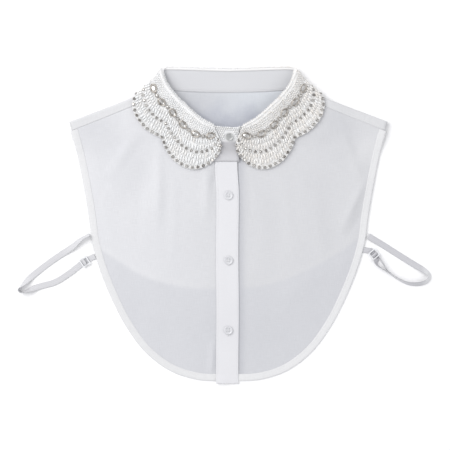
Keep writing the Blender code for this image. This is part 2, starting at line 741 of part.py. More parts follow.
def chain(name, outer, out, flip):
    """A chain that lies on the leaf: a bevelled strip of changing width."""
    rows = by_row(CHAIN, np.linspace(0.0, len(CHAIN) - 1.0, 2 * (len(CHAIN) - 1) + 1))
    half = (outer.shape[0] - 1) // 2
    surface = outer[: half + 1]
    lift = out[: half + 1]
    shares = np.array(LEAF_PROFILE)[:, 1]
    shares[:3] = (-0.04, -0.03, 0.04)
    offsets = np.array([-1.0, -0.55, 0.55, 1.0])
    heights = np.array([0.55, 1.0, 1.0, 0.55])
    lower = np.zeros((len(rows), 4, 3))
    upper = np.zeros((len(rows), 4, 3))
    for index, (place, across, half_width) in enumerate(rows):
        place = place * 2.0
        low = int(place)
        part = place - low
        line = (1 - part) * surface[low] + part * surface[low + 1]
        away = (1 - part) * lift[low] + part * lift[low + 1]
        length = np.linalg.norm(line[-1] - line[2]) / (shares[-1] - shares[2])
        for column in range(4):
            share = across + offsets[column] * max(half_width, 0.9) / length
            point = np.array([np.interp(share, shares, line[:, k]) for k in range(3)])
            normal = np.array([np.interp(share, shares, away[:, k]) for k in range(3)])
            lower[index, column] = point + normal * 0.45
            upper[index, column] = point + normal * (0.45 + CHAIN_HEIGHT * heights[column])
    if flip:
        lower, upper = mirrored(lower), mirrored(upper)
    solid(name, upper, lower, silver)


# Straps and sliders

def ribbon(name, rows, width, samples, finish):
    """Flat ribbon along a table of middle points, its width turned by the given angle."""
    line = by_row(rows, np.linspace(0.0, len(rows) - 1.0, samples))
    centre = line[:, :3]
    turn = np.radians(line[:, 3])[:, None]
    along = np.gradient(centre, axis=0)
    along = along / np.linalg.norm(along, axis=1, keepdims=True)
    flat_side = np.cross([0.0, 0.0, 1.0], along)
    flat_side = flat_side / np.linalg.norm(flat_side, axis=1, keepdims=True)
    up = np.cross(along, flat_side)
    side = flat_side * np.cos(turn) + up * np.sin(turn)
    normal = np.cross(along, side)
    reach = width / 2.0 * np.abs(side[:, 2]) + STRAP_WALL / 2.0 * np.abs(normal[:, 2])
    centre[:, 2] = np.maximum(centre[:, 2], reach)
    grid = np.stack([centre - side * width / 2.0, centre + side * width / 2.0], axis=1)
    half = (normal * STRAP_WALL / 2.0)[:, None]
    solid(name, grid + half, grid - half, finish)


def slider(name, x, y, degrees):
    """Ladder of three bars between two rails, as one closed frame."""
    angle = math.radians(degrees)
    reach = SLIDER_PITCH + SLIDER_BAR / 2.0
    half = SLIDER_INSIDE / 2.0
    along = [-reach, -reach + SLIDER_BAR, -SLIDER_BAR / 2.0, SLIDER_BAR / 2.0]
    along += [reach - SLIDER_BAR, reach]
    across = [-half - SLIDER_BAR, -half, half, half + SLIDER_BAR]
    a, c = np.meshgrid(along, across, indexing="ij")
    plan_x = x + a * math.cos(angle) - c * math.sin(angle)
    plan_y = y + a * math.sin(angle) + c * math.cos(angle)
    lower = np.stack([plan_x, plan_y, np.full_like(a, SLIDER_BASE_Z)], axis=-1)
    upper = lower + [0.0, 0.0, SLIDER_BAR]
    keep = np.ones((5, 3), bool)
    keep[1, 1] = False
    keep[3, 1] = False
    solid(name, upper, lower, clear_plastic, keep)


def strap_side(side, rows):
    x, y, degrees, end_x, end_y, end_z = SLIDERS[side]
    angle = math.radians(degrees)
    along = np.array([math.cos(angle), math.sin(angle)])
    slider("slider_" + side, x, y, degrees)
    turn = rows[-1][3]
    tail = []
    for reach, height in ((-4.6, 0.6), (-3.5, 0.8), (-2.2, 2.5), (-0.85, 4.0), (1.0, 4.05)):
        point = np.array([x, y]) + along * reach
        tail.append((point[0], point[1], height, turn))
    ribbon("strap_" + side, rows + tail, STRAP_WIDTH, 2 * len(rows + tail) + 9, elastic)
    near = np.array([x, y]) + along * 0.4
    far = np.array([x, y]) + along * 4.7
    tab = [
        (near[0], near[1], 0.6, 0.0),
        (far[0], far[1], 0.6, 0.0),
        ((far[0] + end_x) / 2.0, (far[1] + end_y) / 2.0, 0.6, 0.0),
        (end_x, end_y, end_z, 0.0),
    ]
    ribbon("strap_tab_" + side, tab, TAB_WIDTH, 10, elastic)


# Buttons

def turned(name, x, y, z, radius, finish, tilt=0.0):
    """Button turned from its half section by the Screw modifier, tilted about X."""
    data = bpy.data.meshes.new(name)
    points = [(share * radius * MM, 0.0, height * MM) for share, height in BUTTON_SECTION]
    edges = [(i, i + 1) for i in range(len(points) - 1)]
    data.from_pydata(points, edges, [])
    obj = bpy.data.objects.new(name, data)
    obj.location = ((x + GARMENT_SHIFT_X) * MM, y * MM, z * MM)
    obj.rotation_euler.x = tilt
    collection.objects.link(obj)
    screw = obj.modifiers.new("turn", "SCREW")
    screw.steps = BUTTON_STEPS
    screw.render_steps = BUTTON_STEPS
    screw.use_merge_vertices = True
    screw.merge_threshold = 0.0001
    screw.use_normal_calculate = True
    data.materials.append(finish)
    return obj


def drill(obj, x, y, z):
    """Cut the four sewing holes."""
    mesh = bmesh.new()
    for sign_x in (-1, 1):
        for sign_y in (-1, 1):
            made = bmesh.ops.create_cone(
                mesh, cap_ends=True, segments=6, depth=6.0 * MM,
                radius1=HOLE_RADIUS * MM, radius2=HOLE_RADIUS * MM,
            )
            shift = (
                (x + sign_x * HOLE_OFFSET + GARMENT_SHIFT_X) * MM,
                (y + sign_y * HOLE_OFFSET) * MM,
                (z + 1.0) * MM,
            )
            bmesh.ops.translate(mesh, verts=made["verts"], vec=shift)
    data = bpy.data.meshes.new(obj.name + "_holes")
    mesh.to_mesh(data)
    mesh.free()
    cutter = bpy.data.objects.new(obj.name + "_holes", data)
    cutters.objects.link(cutter)
    cutter.hide_render = True
    cutter.display_type = "WIRE"
    cut = obj.modifiers.new("holes", "BOOLEAN")
    cut.solver = "EXACT"
    cut.operation = "DIFFERENCE"
    cut.object = cutter


clear_file()
collection = bpy.data.collections.new(NAME)
bpy.context.scene.collection.children.link(collection)
cutters = bpy.data.collections.new("cutters")
bpy.context.scene.collection.children.link(cutters)

voile = material("white_voile", (0.80, 0.81, 0.84), 0.75)
beaded = material("beaded_voile", (0.86, 0.85, 0.82), 0.40)
elastic = material("white_elastic", (0.84, 0.84, 0.86), 0.60)
silver = material("silver_scroll", (0.42, 0.40, 0.38), 0.25, 1.0)
button_white = material("button_white", (0.85, 0.86, 0.88), 0.20)
clear_plastic = material("slider_plastic", (0.82, 0.83, 0.85), 0.20)

back_panel()
front_half(-1, -PANEL_MEETS_STAND_X, 14.8, "front_right", "front_band_right")
front_half(1, 10.5, 13.6, "front_left", "front_band_left")
placket = centre_bands()
stand_grid = stand()
leaf_outer, leaf_out = leaf(stand_grid)
chain("chain_right", leaf_outer, leaf_out, False)
chain("chain_left", leaf_outer, leaf_out, True)
strap_side("left", STRAP_LEFT)
strap_side("right", STRAP_RIGHT)

for button_name, button_x, button_y, button_radius in BUTTONS:
    row = int(np.argmin(np.abs(placket[:, 2, 1] - button_y)))
    button_z = placket[max(row - 1, 0) : row + 2, :, 2].max() + WALL / 2.0 + GAP
    made = turned(button_name, button_x, button_y, button_z, button_radius, button_white)
    drill(made, button_x, button_y, button_z)

end_line = stand_grid[1]
neck_x, neck_y, neck_radius = NECK_BUTTON
neck_tilt = math.atan2(end_line[-1, 2] - end_line[0, 2], end_line[-1, 1] - end_line[0, 1])
neck_z = np.interp(neck_y, end_line[:, 1], end_line[:, 2])
neck_z += (WALL / 2.0 + GAP + 0.15) / math.cos(neck_tilt)
turned("button_neck", neck_x, neck_y, neck_z, neck_radius, button_white, neck_tilt)
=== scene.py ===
# %% [markdown]
# # A beaded detachable collar, laid flat
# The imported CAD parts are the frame: they give every piece its place and size. This lesson
# dresses them. Each cloth part becomes a thin sheet on the same surface, and the beads,
# stones, chains, stitches and buttons go on top. Tables are in millimetres from the
# garment's centre line, X to the right, Y toward the back neck, Z up from the table.

# %% Load the frame
import math

import bpy
import numpy as np
from mathutils import Matrix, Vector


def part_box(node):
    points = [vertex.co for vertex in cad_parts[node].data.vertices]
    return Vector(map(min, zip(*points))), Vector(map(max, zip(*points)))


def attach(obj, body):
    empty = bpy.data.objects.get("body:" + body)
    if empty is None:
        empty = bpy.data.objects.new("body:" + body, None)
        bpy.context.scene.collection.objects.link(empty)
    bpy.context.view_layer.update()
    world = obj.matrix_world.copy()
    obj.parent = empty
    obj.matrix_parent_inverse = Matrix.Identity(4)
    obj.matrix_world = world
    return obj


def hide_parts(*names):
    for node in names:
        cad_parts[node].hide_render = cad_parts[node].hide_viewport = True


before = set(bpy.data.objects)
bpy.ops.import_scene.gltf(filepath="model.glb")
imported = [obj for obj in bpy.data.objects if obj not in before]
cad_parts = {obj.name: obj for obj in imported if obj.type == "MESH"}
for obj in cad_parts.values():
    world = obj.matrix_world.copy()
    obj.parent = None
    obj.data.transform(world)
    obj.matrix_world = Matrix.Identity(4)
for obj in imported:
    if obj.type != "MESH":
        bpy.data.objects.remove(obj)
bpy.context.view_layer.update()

MM = 0.001
GARMENT_SHIFT = np.array([3.2, 0.0, 0.0])
rng = np.random.default_rng(7)
print("solids in the frame:", len(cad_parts))

# %% [markdown]
# ## Curves through tables
# A pattern cutter draws a few points and joins them with a smooth curve. The same is done
# here: each table row is a point, and a Hermite curve joins the rows, its slope at a row
# taken from the rows beside it. All places on the curve are worked out in one array.

# %% Smooth curves
def smooth(value, start, end):
    """0 before start, 1 after end, with 3s^2 - 2s^3 between them."""
    s = np.clip((np.asarray(value, float) - start) / (end - start), 0.0, 1.0)
    return s * s * (3.0 - 2.0 * s)


def through(rows, at, knots=None):
    """Hermite curve through the rows: blends two rows and their slopes by cubic weights."""
    rows = np.array(rows, float)
    if knots is None:
        steps = np.linalg.norm(np.diff(rows[:, :2], axis=0), axis=1)
        knots = np.concatenate([[0.0], np.cumsum(steps)]) / steps.sum()
    at = np.asarray(at, float)
    slopes = np.gradient(rows, knots, axis=0)
    low = np.clip(np.searchsorted(knots, at, side="right") - 1, 0, len(knots) - 2)
    span = (knots[low + 1] - knots[low])[:, None]
    s = (at - knots[low])[:, None] / span
    start = (2 * s**3 - 3 * s**2 + 1) * rows[low] + (s**3 - 2 * s**2 + s) * span * slopes[low]
    end = (3 * s**2 - 2 * s**3) * rows[low + 1] + (s**3 - s**2) * span * slopes[low + 1]
    return start + end


def by_row(rows, at):
    """The same curve with one unit of the parameter to each row."""
    return through(rows, at, np.arange(len(rows), dtype=float))


print("a quarter of the way, smoothed:", float(smooth(0.25, 0.0, 1.0)))

# %% [markdown]
# ## Distances and directions
# A row of beads needs places at even distances, whatever the table's own spacing is. So the
# distance along a line is summed up first, and places are read off at the wanted distances.

# %% Even steps and directions
FINE_STEPS = 900


def lengths(points):
    """Distance along a line of points, from 0 at its start."""
    steps = np.linalg.norm(np.diff(points, axis=0), axis=1)
    return np.concatenate([[0.0], np.cumsum(steps)])


def resample(points, wanted):
    """The line's points at the wanted distances along it."""
    along = lengths(points)
    return np.stack([np.interp(wanted, along, column) for column in points.T], axis=1)


def evenly(rows, count, start=0.0, end=1.0):
    """Points at even distances on the curve through the rows, from one share to another."""
    fine = through(rows, np.linspace(0.0, 1.0, FINE_STEPS))
    along = lengths(fine[:, :2])
    wanted = np.linspace(start, end, count) * along[-1]
    return np.stack([np.interp(wanted, along, column) for column in fine.T], axis=1)


def unit(vectors):
    """Vectors divided by their own lengths."""
    return vectors / np.maximum(np.linalg.norm(vectors, axis=-1, keepdims=True), 1e-9)


def normals(grid):
    """Unit cross product of the two directions of a grid of points."""
    return unit(np.cross(np.gradient(grid, axis=0), np.gradient(grid, axis=1)))


def mirrored(points):
    """The same points with x turned to the other side."""
    flipped = np.array(points, float)
    flipped[..., 0] *= -1.0
    return flipped


print("steps of a fine curve:", FINE_STEPS)

# %% [markdown]
# ## Faces from a grid's numbers
# A grid of points has its faces already: each cell joins four neighbours. A tube or a bead
# is a grid that closes on itself, and each of its ends gets a fan of faces, so that every
# mesh is closed and has an inside and an outside.

# %% Faces of grids and tubes
def grid_faces(rows, columns, round_rows=False, round_columns=False, keep=None):
    """Four corners of each cell of a grid, which may close on itself either way."""
    index = np.arange(rows * columns).reshape(rows, columns)
    if round_rows:
        index = np.concatenate([index, index[:1]], axis=0)
    if round_columns:
        index = np.concatenate([index, index[:, :1]], axis=1)
    quads = np.stack([index[:-1, :-1], index[:-1, 1:], index[1:, 1:], index[1:, :-1]], axis=-1)
    if keep is not None:
        quads = quads[keep]
    return quads.reshape(-1, 4)


def ring_fan(ring):
    """Quads over a ring with an even count: its first point and three in a row, all round."""
    k = np.arange(1, len(ring) - 2, 2)
    return np.stack([np.full(len(k), ring[0]), ring[k], ring[k + 1], ring[k + 2]], axis=-1)


def closed_tube_faces(rows, columns):
    """Cells of a tube, and a fan of quads over each of its two end rings."""
    index = np.arange(rows * columns).reshape(rows, columns)
    around = grid_faces(rows, columns, round_columns=True)
    return np.concatenate([around, ring_fan(index[0, ::-1]), ring_fan(index[-1])])


print("faces of a closed tube of three rings of six:", len(closed_tube_faces(3, 6)))

# %% [markdown]
# ## From arrays to meshes
# foreach_set copies a whole array into a mesh at once, which is far faster than adding
# vertices one by one. Points that no face uses are left out. Numbers for each point, such
# as a bead's tone, go in as attributes for the finish to read.

# %% Put arrays into meshes
def make_piece(name, points, faces, finish, uv=None, rounded=True, **marks):
    """Mesh object from whole arrays; marks are numbers for each point that a finish reads."""
    points = ((np.asarray(points, float).reshape(-1, 3) + GARMENT_SHIFT) * MM).astype(np.float32)
    faces = np.asarray(faces, np.int32)
    used = np.unique(faces)
    new_index = np.zeros(len(points), np.int32)
    new_index[used] = np.arange(len(used))
    mesh = bpy.data.meshes.new(name)
    mesh.vertices.add(len(used))
    mesh.vertices.foreach_set("co", points[used].ravel())
    mesh.loops.add(faces.size)
    mesh.loops.foreach_set("vertex_index", new_index[faces].ravel())
    mesh.polygons.add(len(faces))
    mesh.polygons.foreach_set("loop_start", np.arange(len(faces), dtype=np.int32) * faces.shape[1])
    mesh.polygons.foreach_set("use_smooth", np.full(len(faces), rounded))
    if uv is not None:
        layer = mesh.uv_layers.new(name="cut")
        layer.data.foreach_set("uv", np.asarray(uv, np.float32).reshape(-1, 2)[faces.ravel()].ravel())
    mesh.update(calc_edges=True)
    mesh.validate()
    for mark, values in marks.items():
        layer = mesh.attributes.new(mark, "FLOAT", "POINT")
        layer.data.foreach_set("value", np.asarray(values, np.float32).ravel()[used])
    mesh.materials.append(finish)
    piece = bpy.data.objects.new(name, mesh)
    bpy.context.scene.collection.objects.link(piece)
    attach(piece, "root")
    print(f"{name}: {len(faces)} faces")
    return piece


# %% [markdown]
# ## Thin sheets
# Cloth is a surface with almost no thickness, so it is built as one and Solidify gives it
# its wall. Every grid also gets a UV map in millimetres of cloth, so that a weave follows
# the cloth round its folds.

# %% Sheets with a wall
def distances(grid):
    """UV map of a grid: millimetres along its middle row and middle column."""
    rows, columns = grid.shape[:2]
    down = lengths(grid[:, columns // 2])
    across = lengths(grid[rows // 2])
    return np.stack(np.meshgrid(across, down), axis=-1)


def sheet_piece(name, grid, finish, thickness, keep=None, uv=None, even=True, **marks):
    """Thin cloth on a grid of points; Solidify gives it its two faces and its rim."""
    uv = distances(grid) if uv is None else uv
    faces = grid_faces(*grid.shape[:2], keep=keep)
    piece = make_piece(name, grid, faces, finish, uv, **marks)
    wall = piece.modifiers.new("wall", "SOLIDIFY")
    wall.thickness = thickness * MM
    wall.offset = 0.0
    wall.use_even_offset = even
    return piece


# %% [markdown]
# ## Shader sums
# A finish is a sum: weave plus slub, or tarnish times noise. One small class wraps a socket
# so that Python's own signs add the Math nodes.

# %% Wires that can be added up
class Wire:
    """A node's output that can be used in sums with numbers and other wires."""

    def __init__(self, finish, socket):
        self.finish, self.socket = finish, socket

    def math(self, operation, first, second):
        """One Math node on two values."""
        return self.finish.node("ShaderNodeMath", {"operation": operation}, {0: first, 1: second})

    def __add__(self, other):
        return self.math("ADD", self, other)

    def __sub__(self, other):
        return self.math("SUBTRACT", self, other)

    def __mul__(self, other):
        return self.math("MULTIPLY", self, other)

    def __rsub__(self, other):
        return self.math("SUBTRACT", other, self)

    __radd__, __rmul__ = __add__, __mul__

    def above(self, start, end):
        """0 below start and 1 above end, with a soft step."""
        settings = {"interpolation_type": "SMOOTHSTEP"}
        return self.finish.node("ShaderNodeMapRange", settings, {0: self, 1: start, 2: end})


# %% [markdown]
# ## A material with one shader
# Cloth, glass, metal and plastic are all one Principled shader with other numbers. One
# method adds any node from its type, its settings and its sockets, and the short ones
# below give the few nodes that the finishes use a name.

# %% Finishes as expressions
class Finish:
    """A material with one Principled shader, built from expressions."""

    def __init__(self, name, **constants):
        self.material = bpy.data.materials.new(name)
        self.material.use_nodes = True
        self.tree = self.material.node_tree
        self.shader = self.tree.nodes["Principled BSDF"]
        for key, value in constants.items():
            self.shader.inputs[key.replace("_", " ")].default_value = value

    def node(self, kind, settings=None, sockets=None, out=0):
        """Any node: its settings first, then a value or a wire for each named socket."""
        made = self.tree.nodes.new(kind)
        for key, value in (settings or {}).items():
            setattr(made, key, value)
        for key, value in (sockets or {}).items():
            if isinstance(value, Wire):
                self.tree.links.new(value.socket, made.inputs[key])
            else:
                made.inputs[key].default_value = value
        return Wire(self, made.outputs[out])

    def feed(self, name, wire):
        """Wire into one socket of the Principled shader."""
        self.tree.links.new(wire.socket, self.shader.inputs[name])

    def place(self):
        """Object coordinates in metres."""
        return self.node("ShaderNodeTexCoord", out="Object")

    def cut(self):
        """The cloth's own UV map, in millimetres."""
        return self.node("ShaderNodeUVMap", {"uv_map": "cut"})

    def part(self, vector, axis):
        """One of a vector's three numbers: 0 is x, 1 is y, 2 is z."""
        return self.node("ShaderNodeSeparateXYZ", None, {0: vector}, out=axis)

    def stretched(self, vector, x, y, z=1.0):
        """A vector with each number multiplied by its own factor."""
        settings = {"operation": "MULTIPLY"}
        return self.node("ShaderNodeVectorMath", settings, {0: vector, 1: (x, y, z)})

    def noise(self, vector, scale, detail=2.0, roughness=0.5):
        """Smooth noise around 0.5."""
        sockets = {"Vector": vector, "Scale": scale, "Detail": detail, "Roughness": roughness}
        return self.node("ShaderNodeTexNoise", None, sockets)

    def sine(self, value):
        """Sine of a value, moved to run from 0 to 1."""
        return self.node("ShaderNodeMath", {"operation": "SINE"}, {0: value}) * 0.5 + 0.5

    def between(self, factor, first, second):
        """Colour from first to second by a factor; each is three numbers or a wire."""
        first, second = [c if isinstance(c, Wire) else (*c, 1.0) for c in (first, second)]
        sockets = {"Factor": factor, 6: first, 7: second}
        return self.node("ShaderNodeMix", {"data_type": "RGBA"}, sockets, out=2)

    def relief(self, height, millimetres, strength=1.0):
        """Bump of a height of 0 to 1 that stands for so many millimetres."""
        sockets = {"Height": height, "Distance": millimetres * MM, "Strength": strength}
        self.feed("Normal", self.node("ShaderNodeBump", None, sockets))


# %% [markdown]
# ## Voile
# The body is cotton voile: a plain weave of fine hard-spun threads with air between them. It
# is matt, white and see-through enough for the back panel's hem to show. The gaps are far
# too small to model, so the weave is relief only, and Alpha stands for the open share of the
# cloth. A tint of slubs and clouds keeps the colour from being one flat value.

# %% Weave
THREADS_PER_MM = 2.2


def attribute(finish, name):
    """A number that the mesh stores for each point."""
    return finish.node("ShaderNodeAttribute", {"attribute_name": name}, None, out="Fac")


def weave(name, cover=1.0):
    """Plain weave: two crossed sine waves and slubs as relief, a tint of 0 to 1, a cover."""
    finish = Finish(name, Roughness=0.85, Sheen_Weight=0.15, Sheen_Roughness=0.6)
    cut = finish.cut()
    turn = 2.0 * math.pi * THREADS_PER_MM
    warp = finish.sine(finish.part(cut, 0) * turn)
    weft = finish.sine(finish.part(cut, 1) * turn)
    slub_warp = finish.noise(finish.stretched(cut, 2.4, 0.10), 1.0, 3.0)
    slub_weft = finish.noise(finish.stretched(cut, 0.10, 2.4), 1.0, 3.0)
    slub = slub_warp * 0.5 + slub_weft * 0.5
    cloudy = finish.noise(finish.stretched(cut, 0.022, 0.013), 1.0, 2.0)
    finish.tint = (slub - 0.5) * 0.9 + (cloudy - 0.5) * 1.1 + 0.5
    finish.relief(warp * weft + slub, 0.03, 0.5)
    if cover < 1.0:
        finish.feed("Alpha", (slub - 0.5) * 0.25 + cover)
    return finish


def tinted(finish, dark, light):
    """Colour from dark to light by the weave's tint."""
    return finish.between(finish.tint, dark, light)


print("threads per centimetre:", THREADS_PER_MM * 10)

# %% [markdown]
# ## One layer and two
# Where a second layer lies under the front, less light passes and the cloth looks whiter.
# Each point of a front panel carries its distance from the back's hem in millimetres, and
# the finish turns that into a soft line at the hem. The cloth is a little brighter at the
# image's left, toward the lamp.

# %% Front voile
# colours at the image's left and right, each from the dark to the light end of the tint
ONE_LAYER = [
    ((0.670, 0.678, 0.710), (0.726, 0.733, 0.762)),
    ((0.652, 0.660, 0.692), (0.702, 0.709, 0.738)),
]
TWO_LAYERS = [
    ((0.745, 0.750, 0.775), (0.805, 0.809, 0.830)),
    ((0.690, 0.695, 0.717), (0.740, 0.744, 0.762)),
]
SHADE_COLOR, LIGHT_COLOR = (0.52, 0.53, 0.57), (0.90, 0.90, 0.91)

front_voile = weave("voile_front", 0.84)
from_hem = attribute(front_voile, "from_hem")
lined = from_hem.above(-4.0, 2.5)
folded_hem = lined * (1.0 - from_hem.above(5.2, 6.8))
to_right = front_voile.part(front_voile.place(), 0).above(-0.09, 0.03)
one_layer = front_voile.between(to_right, *[tinted(front_voile, *pair) for pair in ONE_LAYER])
two_layers = front_voile.between(to_right, *[tinted(front_voile, *pair) for pair in TWO_LAYERS])
cloth_color = front_voile.between(lined * 0.90 + folded_hem * 0.10, one_layer, two_layers)
shaded_cloth = front_voile.between(attribute(front_voile, "shaded"), cloth_color, SHADE_COLOR)
lit_cloth = front_voile.between(attribute(front_voile, "lit"), shaded_cloth, LIGHT_COLOR)
front_voile.feed("Base Color", lit_cloth)
print("finish:", front_voile.material.name)

# %% [markdown]
# ## Back, bands and placket
# Inside the neck we see the back panel's inner face, which is in shade and a little clouded.
# Its part that turns over the shoulder is in the light, so that part is marked on the mesh.
# Bands and placket are two layers of the same voile and let less light through.

# %% Back, band and placket voile
back_voile = weave("voile_back", 0.90)
mottle = back_voile.noise(back_voile.place(), 60.0, 4.0, 0.6)
up_the_back = (back_voile.part(back_voile.place(), 1) + (mottle - 0.5) * 0.045).above(0.104, 0.146)
back_right = back_voile.part(back_voile.place(), 0).above(-0.035, 0.030)
near_neck = back_voile.between(back_right, (0.600, 0.612, 0.642), (0.665, 0.690, 0.728))
inside = back_voile.between(up_the_back, (0.495, 0.514, 0.578), near_neck)
wrap = tinted(back_voile, (0.692, 0.697, 0.712), (0.742, 0.745, 0.758))
back_voile.feed("Base Color", back_voile.between(attribute(back_voile, "wrap"), inside, wrap))

double_voile = weave("voile_double", 0.92)
band_right = double_voile.part(double_voile.place(), 0).above(-0.09, 0.03)
left_band = tinted(double_voile, (0.738, 0.741, 0.751), (0.788, 0.790, 0.797))
right_band = tinted(double_voile, (0.765, 0.768, 0.778), (0.815, 0.817, 0.824))
double_voile.feed("Base Color", double_voile.between(band_right, left_band, right_band))

placket_voile = weave("voile_placket")
placket_tint = tinted(placket_voile, (0.690, 0.690, 0.714), (0.740, 0.742, 0.764))
placket_voile.feed("Base Color", placket_tint)
print("finishes:", back_voile.material.name, double_voile.material.name)

# %% [markdown]
# ## Stand, leaf and thread
# The stand is one strip, seen from outside at the front and from inside at the back. Its
# colour changes up the garment by painted shade and painted light: shaded between the leaf's
# two ends and more just under the neck button, painted pale among the beads round the
# button, and in soft painted shade at the back of the neck.

# %% Stand and leaf voile, thread
stand_voile = weave("voile_stand")
up = stand_voile.part(stand_voile.place(), 1)
# painted shade between the leaf's ends and just under the neck button, painted light among the beads
# above it
below_button = tinted(stand_voile, (0.575, 0.573, 0.596), (0.630, 0.627, 0.646))
shade_under_button = tinted(stand_voile, (0.455, 0.452, 0.470), (0.510, 0.506, 0.522))
lit_among_beads = tinted(stand_voile, (0.800, 0.802, 0.812), (0.860, 0.862, 0.868))
front_shade_and_light = stand_voile.between(up.above(0.075, 0.088), below_button, shade_under_button)
front_shade_and_light = stand_voile.between(up.above(0.092, 0.097), front_shade_and_light, lit_among_beads)
back_shade = tinted(stand_voile, (0.590, 0.596, 0.618), (0.645, 0.650, 0.668))
stand_shade = stand_voile.between(up.above(0.108, 0.150), front_shade_and_light, back_shade)
stand_voile.feed("Base Color", stand_shade)

leaf_voile = weave("voile_leaf")
leaf_voile.feed("Base Color", tinted(leaf_voile, (0.800, 0.800, 0.800), (0.860, 0.858, 0.852)))

thread = Finish("cotton_thread", Roughness=0.7, Sheen_Weight=0.2)
thread_twist = thread.noise(thread.place(), 2600.0, 2.0)
thread.feed("Base Color", thread.between(thread_twist, (0.70, 0.70, 0.72), (0.80, 0.80, 0.81)))
thread.relief(thread_twist, 0.08)
print("finishes:", stand_voile.material.name, leaf_voile.material.name)

# %% [markdown]
# ## The body's two surfaces
# The back layer lies on the table and is lifted where the leaf is under it. The front layer
# follows it, drops past the back's hem to the table, and rises to the rolled shoulder. The
# two outlines say where each layer ends: one long curve for armhole and hem, drawn on one
# half, and the back panel's shorter hem.

# %% Levels and outlines
TIP_X, TIP_Y, SHOULDER_SLOPE, SEAM_BELOW_FOLD = 179.8, 116.5, 0.375, 10.0
SHOULDER_COS = math.cos(math.atan(SHOULDER_SLOPE))
BACK_ON_TABLE, BACK_ON_LEAF = 0.6, 3.3
FRONT_ON_TABLE, FRONT_ON_BACK = 0.7, 3.3
FOLD_AT_TIP, FOLD_AT_NECK = 5.2, 7.8
WALL = 1.2

OUTLINE = [
    # x, y
    (179.8, 116.5),
    (175.8, 104.2),
    (169.7, 80.6),
    (164.6, 56.0),
    (160.2, 32.5),
    (156.4, 8.3),
    (153.4, -15.7),
    (146.7, -41.4),
    (134.0, -75.0),
    (115.5, -112.0),
    (90.5, -144.5),
    (61.6, -164.6),
    (35.0, -172.6),
    (0.0, -174.2),
]
BACK_HEM = [
    # x, y
    (-150.5, -21.0),
    (-123.1, -38.9),
    (-101.5, -52.1),
    (-77.5, -61.7),
    (-51.1, -67.6),
    (-22.3, -69.6),
    (13.7, -68.6),
    (42.4, -65.3),
    (68.9, -57.0),
    (97.7, -43.7),
    (121.6, -30.0),
    (152.0, -8.0),
]
print("outline, points on one half:", len(OUTLINE))

# %% [markdown]
# ## Folds
# Cloth that was folded and laid down keeps soft ridges. Each is a row in a table: a line,
# how wide the ridge is and how high. Across the line the height is a Gaussian, and it fades
# out at the line's two ends. The second table holds the small ones, and a negative height
# is a hollow.

# %% Tables of folds
FOLDS = [
    # x, y, end x, end y, half width, height
    (-92.0, 96.0, -138.0, 18.0, 13.0, 1.7),
    (-74.0, 74.0, -86.0, 0.0, 12.0, 1.3),
    (-24.0, 58.0, -20.0, 10.0, 7.0, 1.0),
    (-22.0, -130.0, -18.0, -166.0, 6.0, 0.9),
    (118.0, 118.0, 134.0, 78.0, 12.0, 1.6),
    (152.0, 60.0, 128.0, -10.0, 12.0, 1.6),
    (78.0, 78.0, 94.0, -20.0, 15.0, 1.2),
    (34.0, 44.0, 40.0, -60.0, 14.0, 0.9),
]
SMALL_FOLDS = [
    # x, y, end x, end y, half width, height
    (-138.0, 50.0, -97.0, 110.0, 7.5, 2.0),
    (-150.0, 92.0, -122.0, 60.0, 6.0, -0.6),
    (-78.0, 102.0, -79.0, -8.0, 6.0, 1.4),
    (-96.0, 60.0, -104.0, -30.0, 7.0, -0.7),
    (-60.0, 60.0, -62.0, -40.0, 6.0, 0.7),
    (-24.0, 76.0, -26.0, 2.0, 5.0, 1.4),
    (-15.8, 72.0, -16.2, 38.0, 2.2, -1.0),
    (-17.5, -128.0, -19.0, -172.0, 2.6, 1.4),
    (-26.0, -132.0, -30.0, -168.0, 4.0, -1.0),
    (-120.0, -20.0, -60.0, -80.0, 9.0, 0.5),
    (108.0, 130.0, 116.0, 84.0, 7.0, -1.3),
    (122.0, 124.0, 150.0, 48.0, 5.0, 1.1),
    (124.0, -8.0, 157.0, 58.0, 4.5, 1.6),
    (152.0, 20.0, 128.0, -20.0, 4.0, -0.7),
    (60.0, 66.0, 72.0, -30.0, 8.0, 0.8),
    (22.0, 60.0, 26.0, 0.0, 4.0, -0.5),
    (96.0, 60.0, 108.0, -60.0, 9.0, 0.7),
    (60.0, -80.0, 120.0, -40.0, 9.0, 0.5),
]
print("folds:", len(FOLDS), "broad and", len(SMALL_FOLDS), "small")

# %% [markdown]
# ## Heights of the two layers
# Each layer is a height over the table, worked out from x and y alone. Anything that lies
# on a layer, such as a band or a stitch, asks the same function for its height and adds its
# own lift, so nothing floats and nothing sinks in.

# %% Heights of the layers
def shoulder_y(x):
    """The shoulder fold is a straight line that rises toward the neck."""
    return TIP_Y + (TIP_X - np.abs(x)) * SHOULDER_SLOPE


def fold_height(x):
    """Height of the rolled shoulder: lower at the tip than at the neck."""
    return FOLD_AT_NECK + (FOLD_AT_TIP - FOLD_AT_NECK) * smooth(np.abs(x), 110.0, 150.0)


def back_z(x, y):
    """Table height, plus the leaf's thickness where the leaf is underneath."""
    lift = smooth(y, 88.0, 108.0) * (1.0 - smooth(np.abs(x), 110.0, 124.0))
    return BACK_ON_TABLE + (BACK_ON_LEAF - BACK_ON_TABLE) * lift


def ridges(x, y, table):
    """Sum of soft ridges: height * 4s(1 - s) * exp(-(distance / half width)^2)."""
    total = np.zeros(np.broadcast(x, y).shape)
    for x0, y0, x1, y1, half_width, height in table:
        length = math.hypot(x1 - x0, y1 - y0)
        ux, uy = (x1 - x0) / length, (y1 - y0) / length
        s = ((x - x0) * ux + (y - y0) * uy) / length
        across = (x - x0) * uy - (y - y0) * ux
        ends = np.clip(4.0 * s * (1.0 - s), 0.0, 1.0)
        total = total + height * ends * np.exp(-((across / half_width) ** 2))
    return total


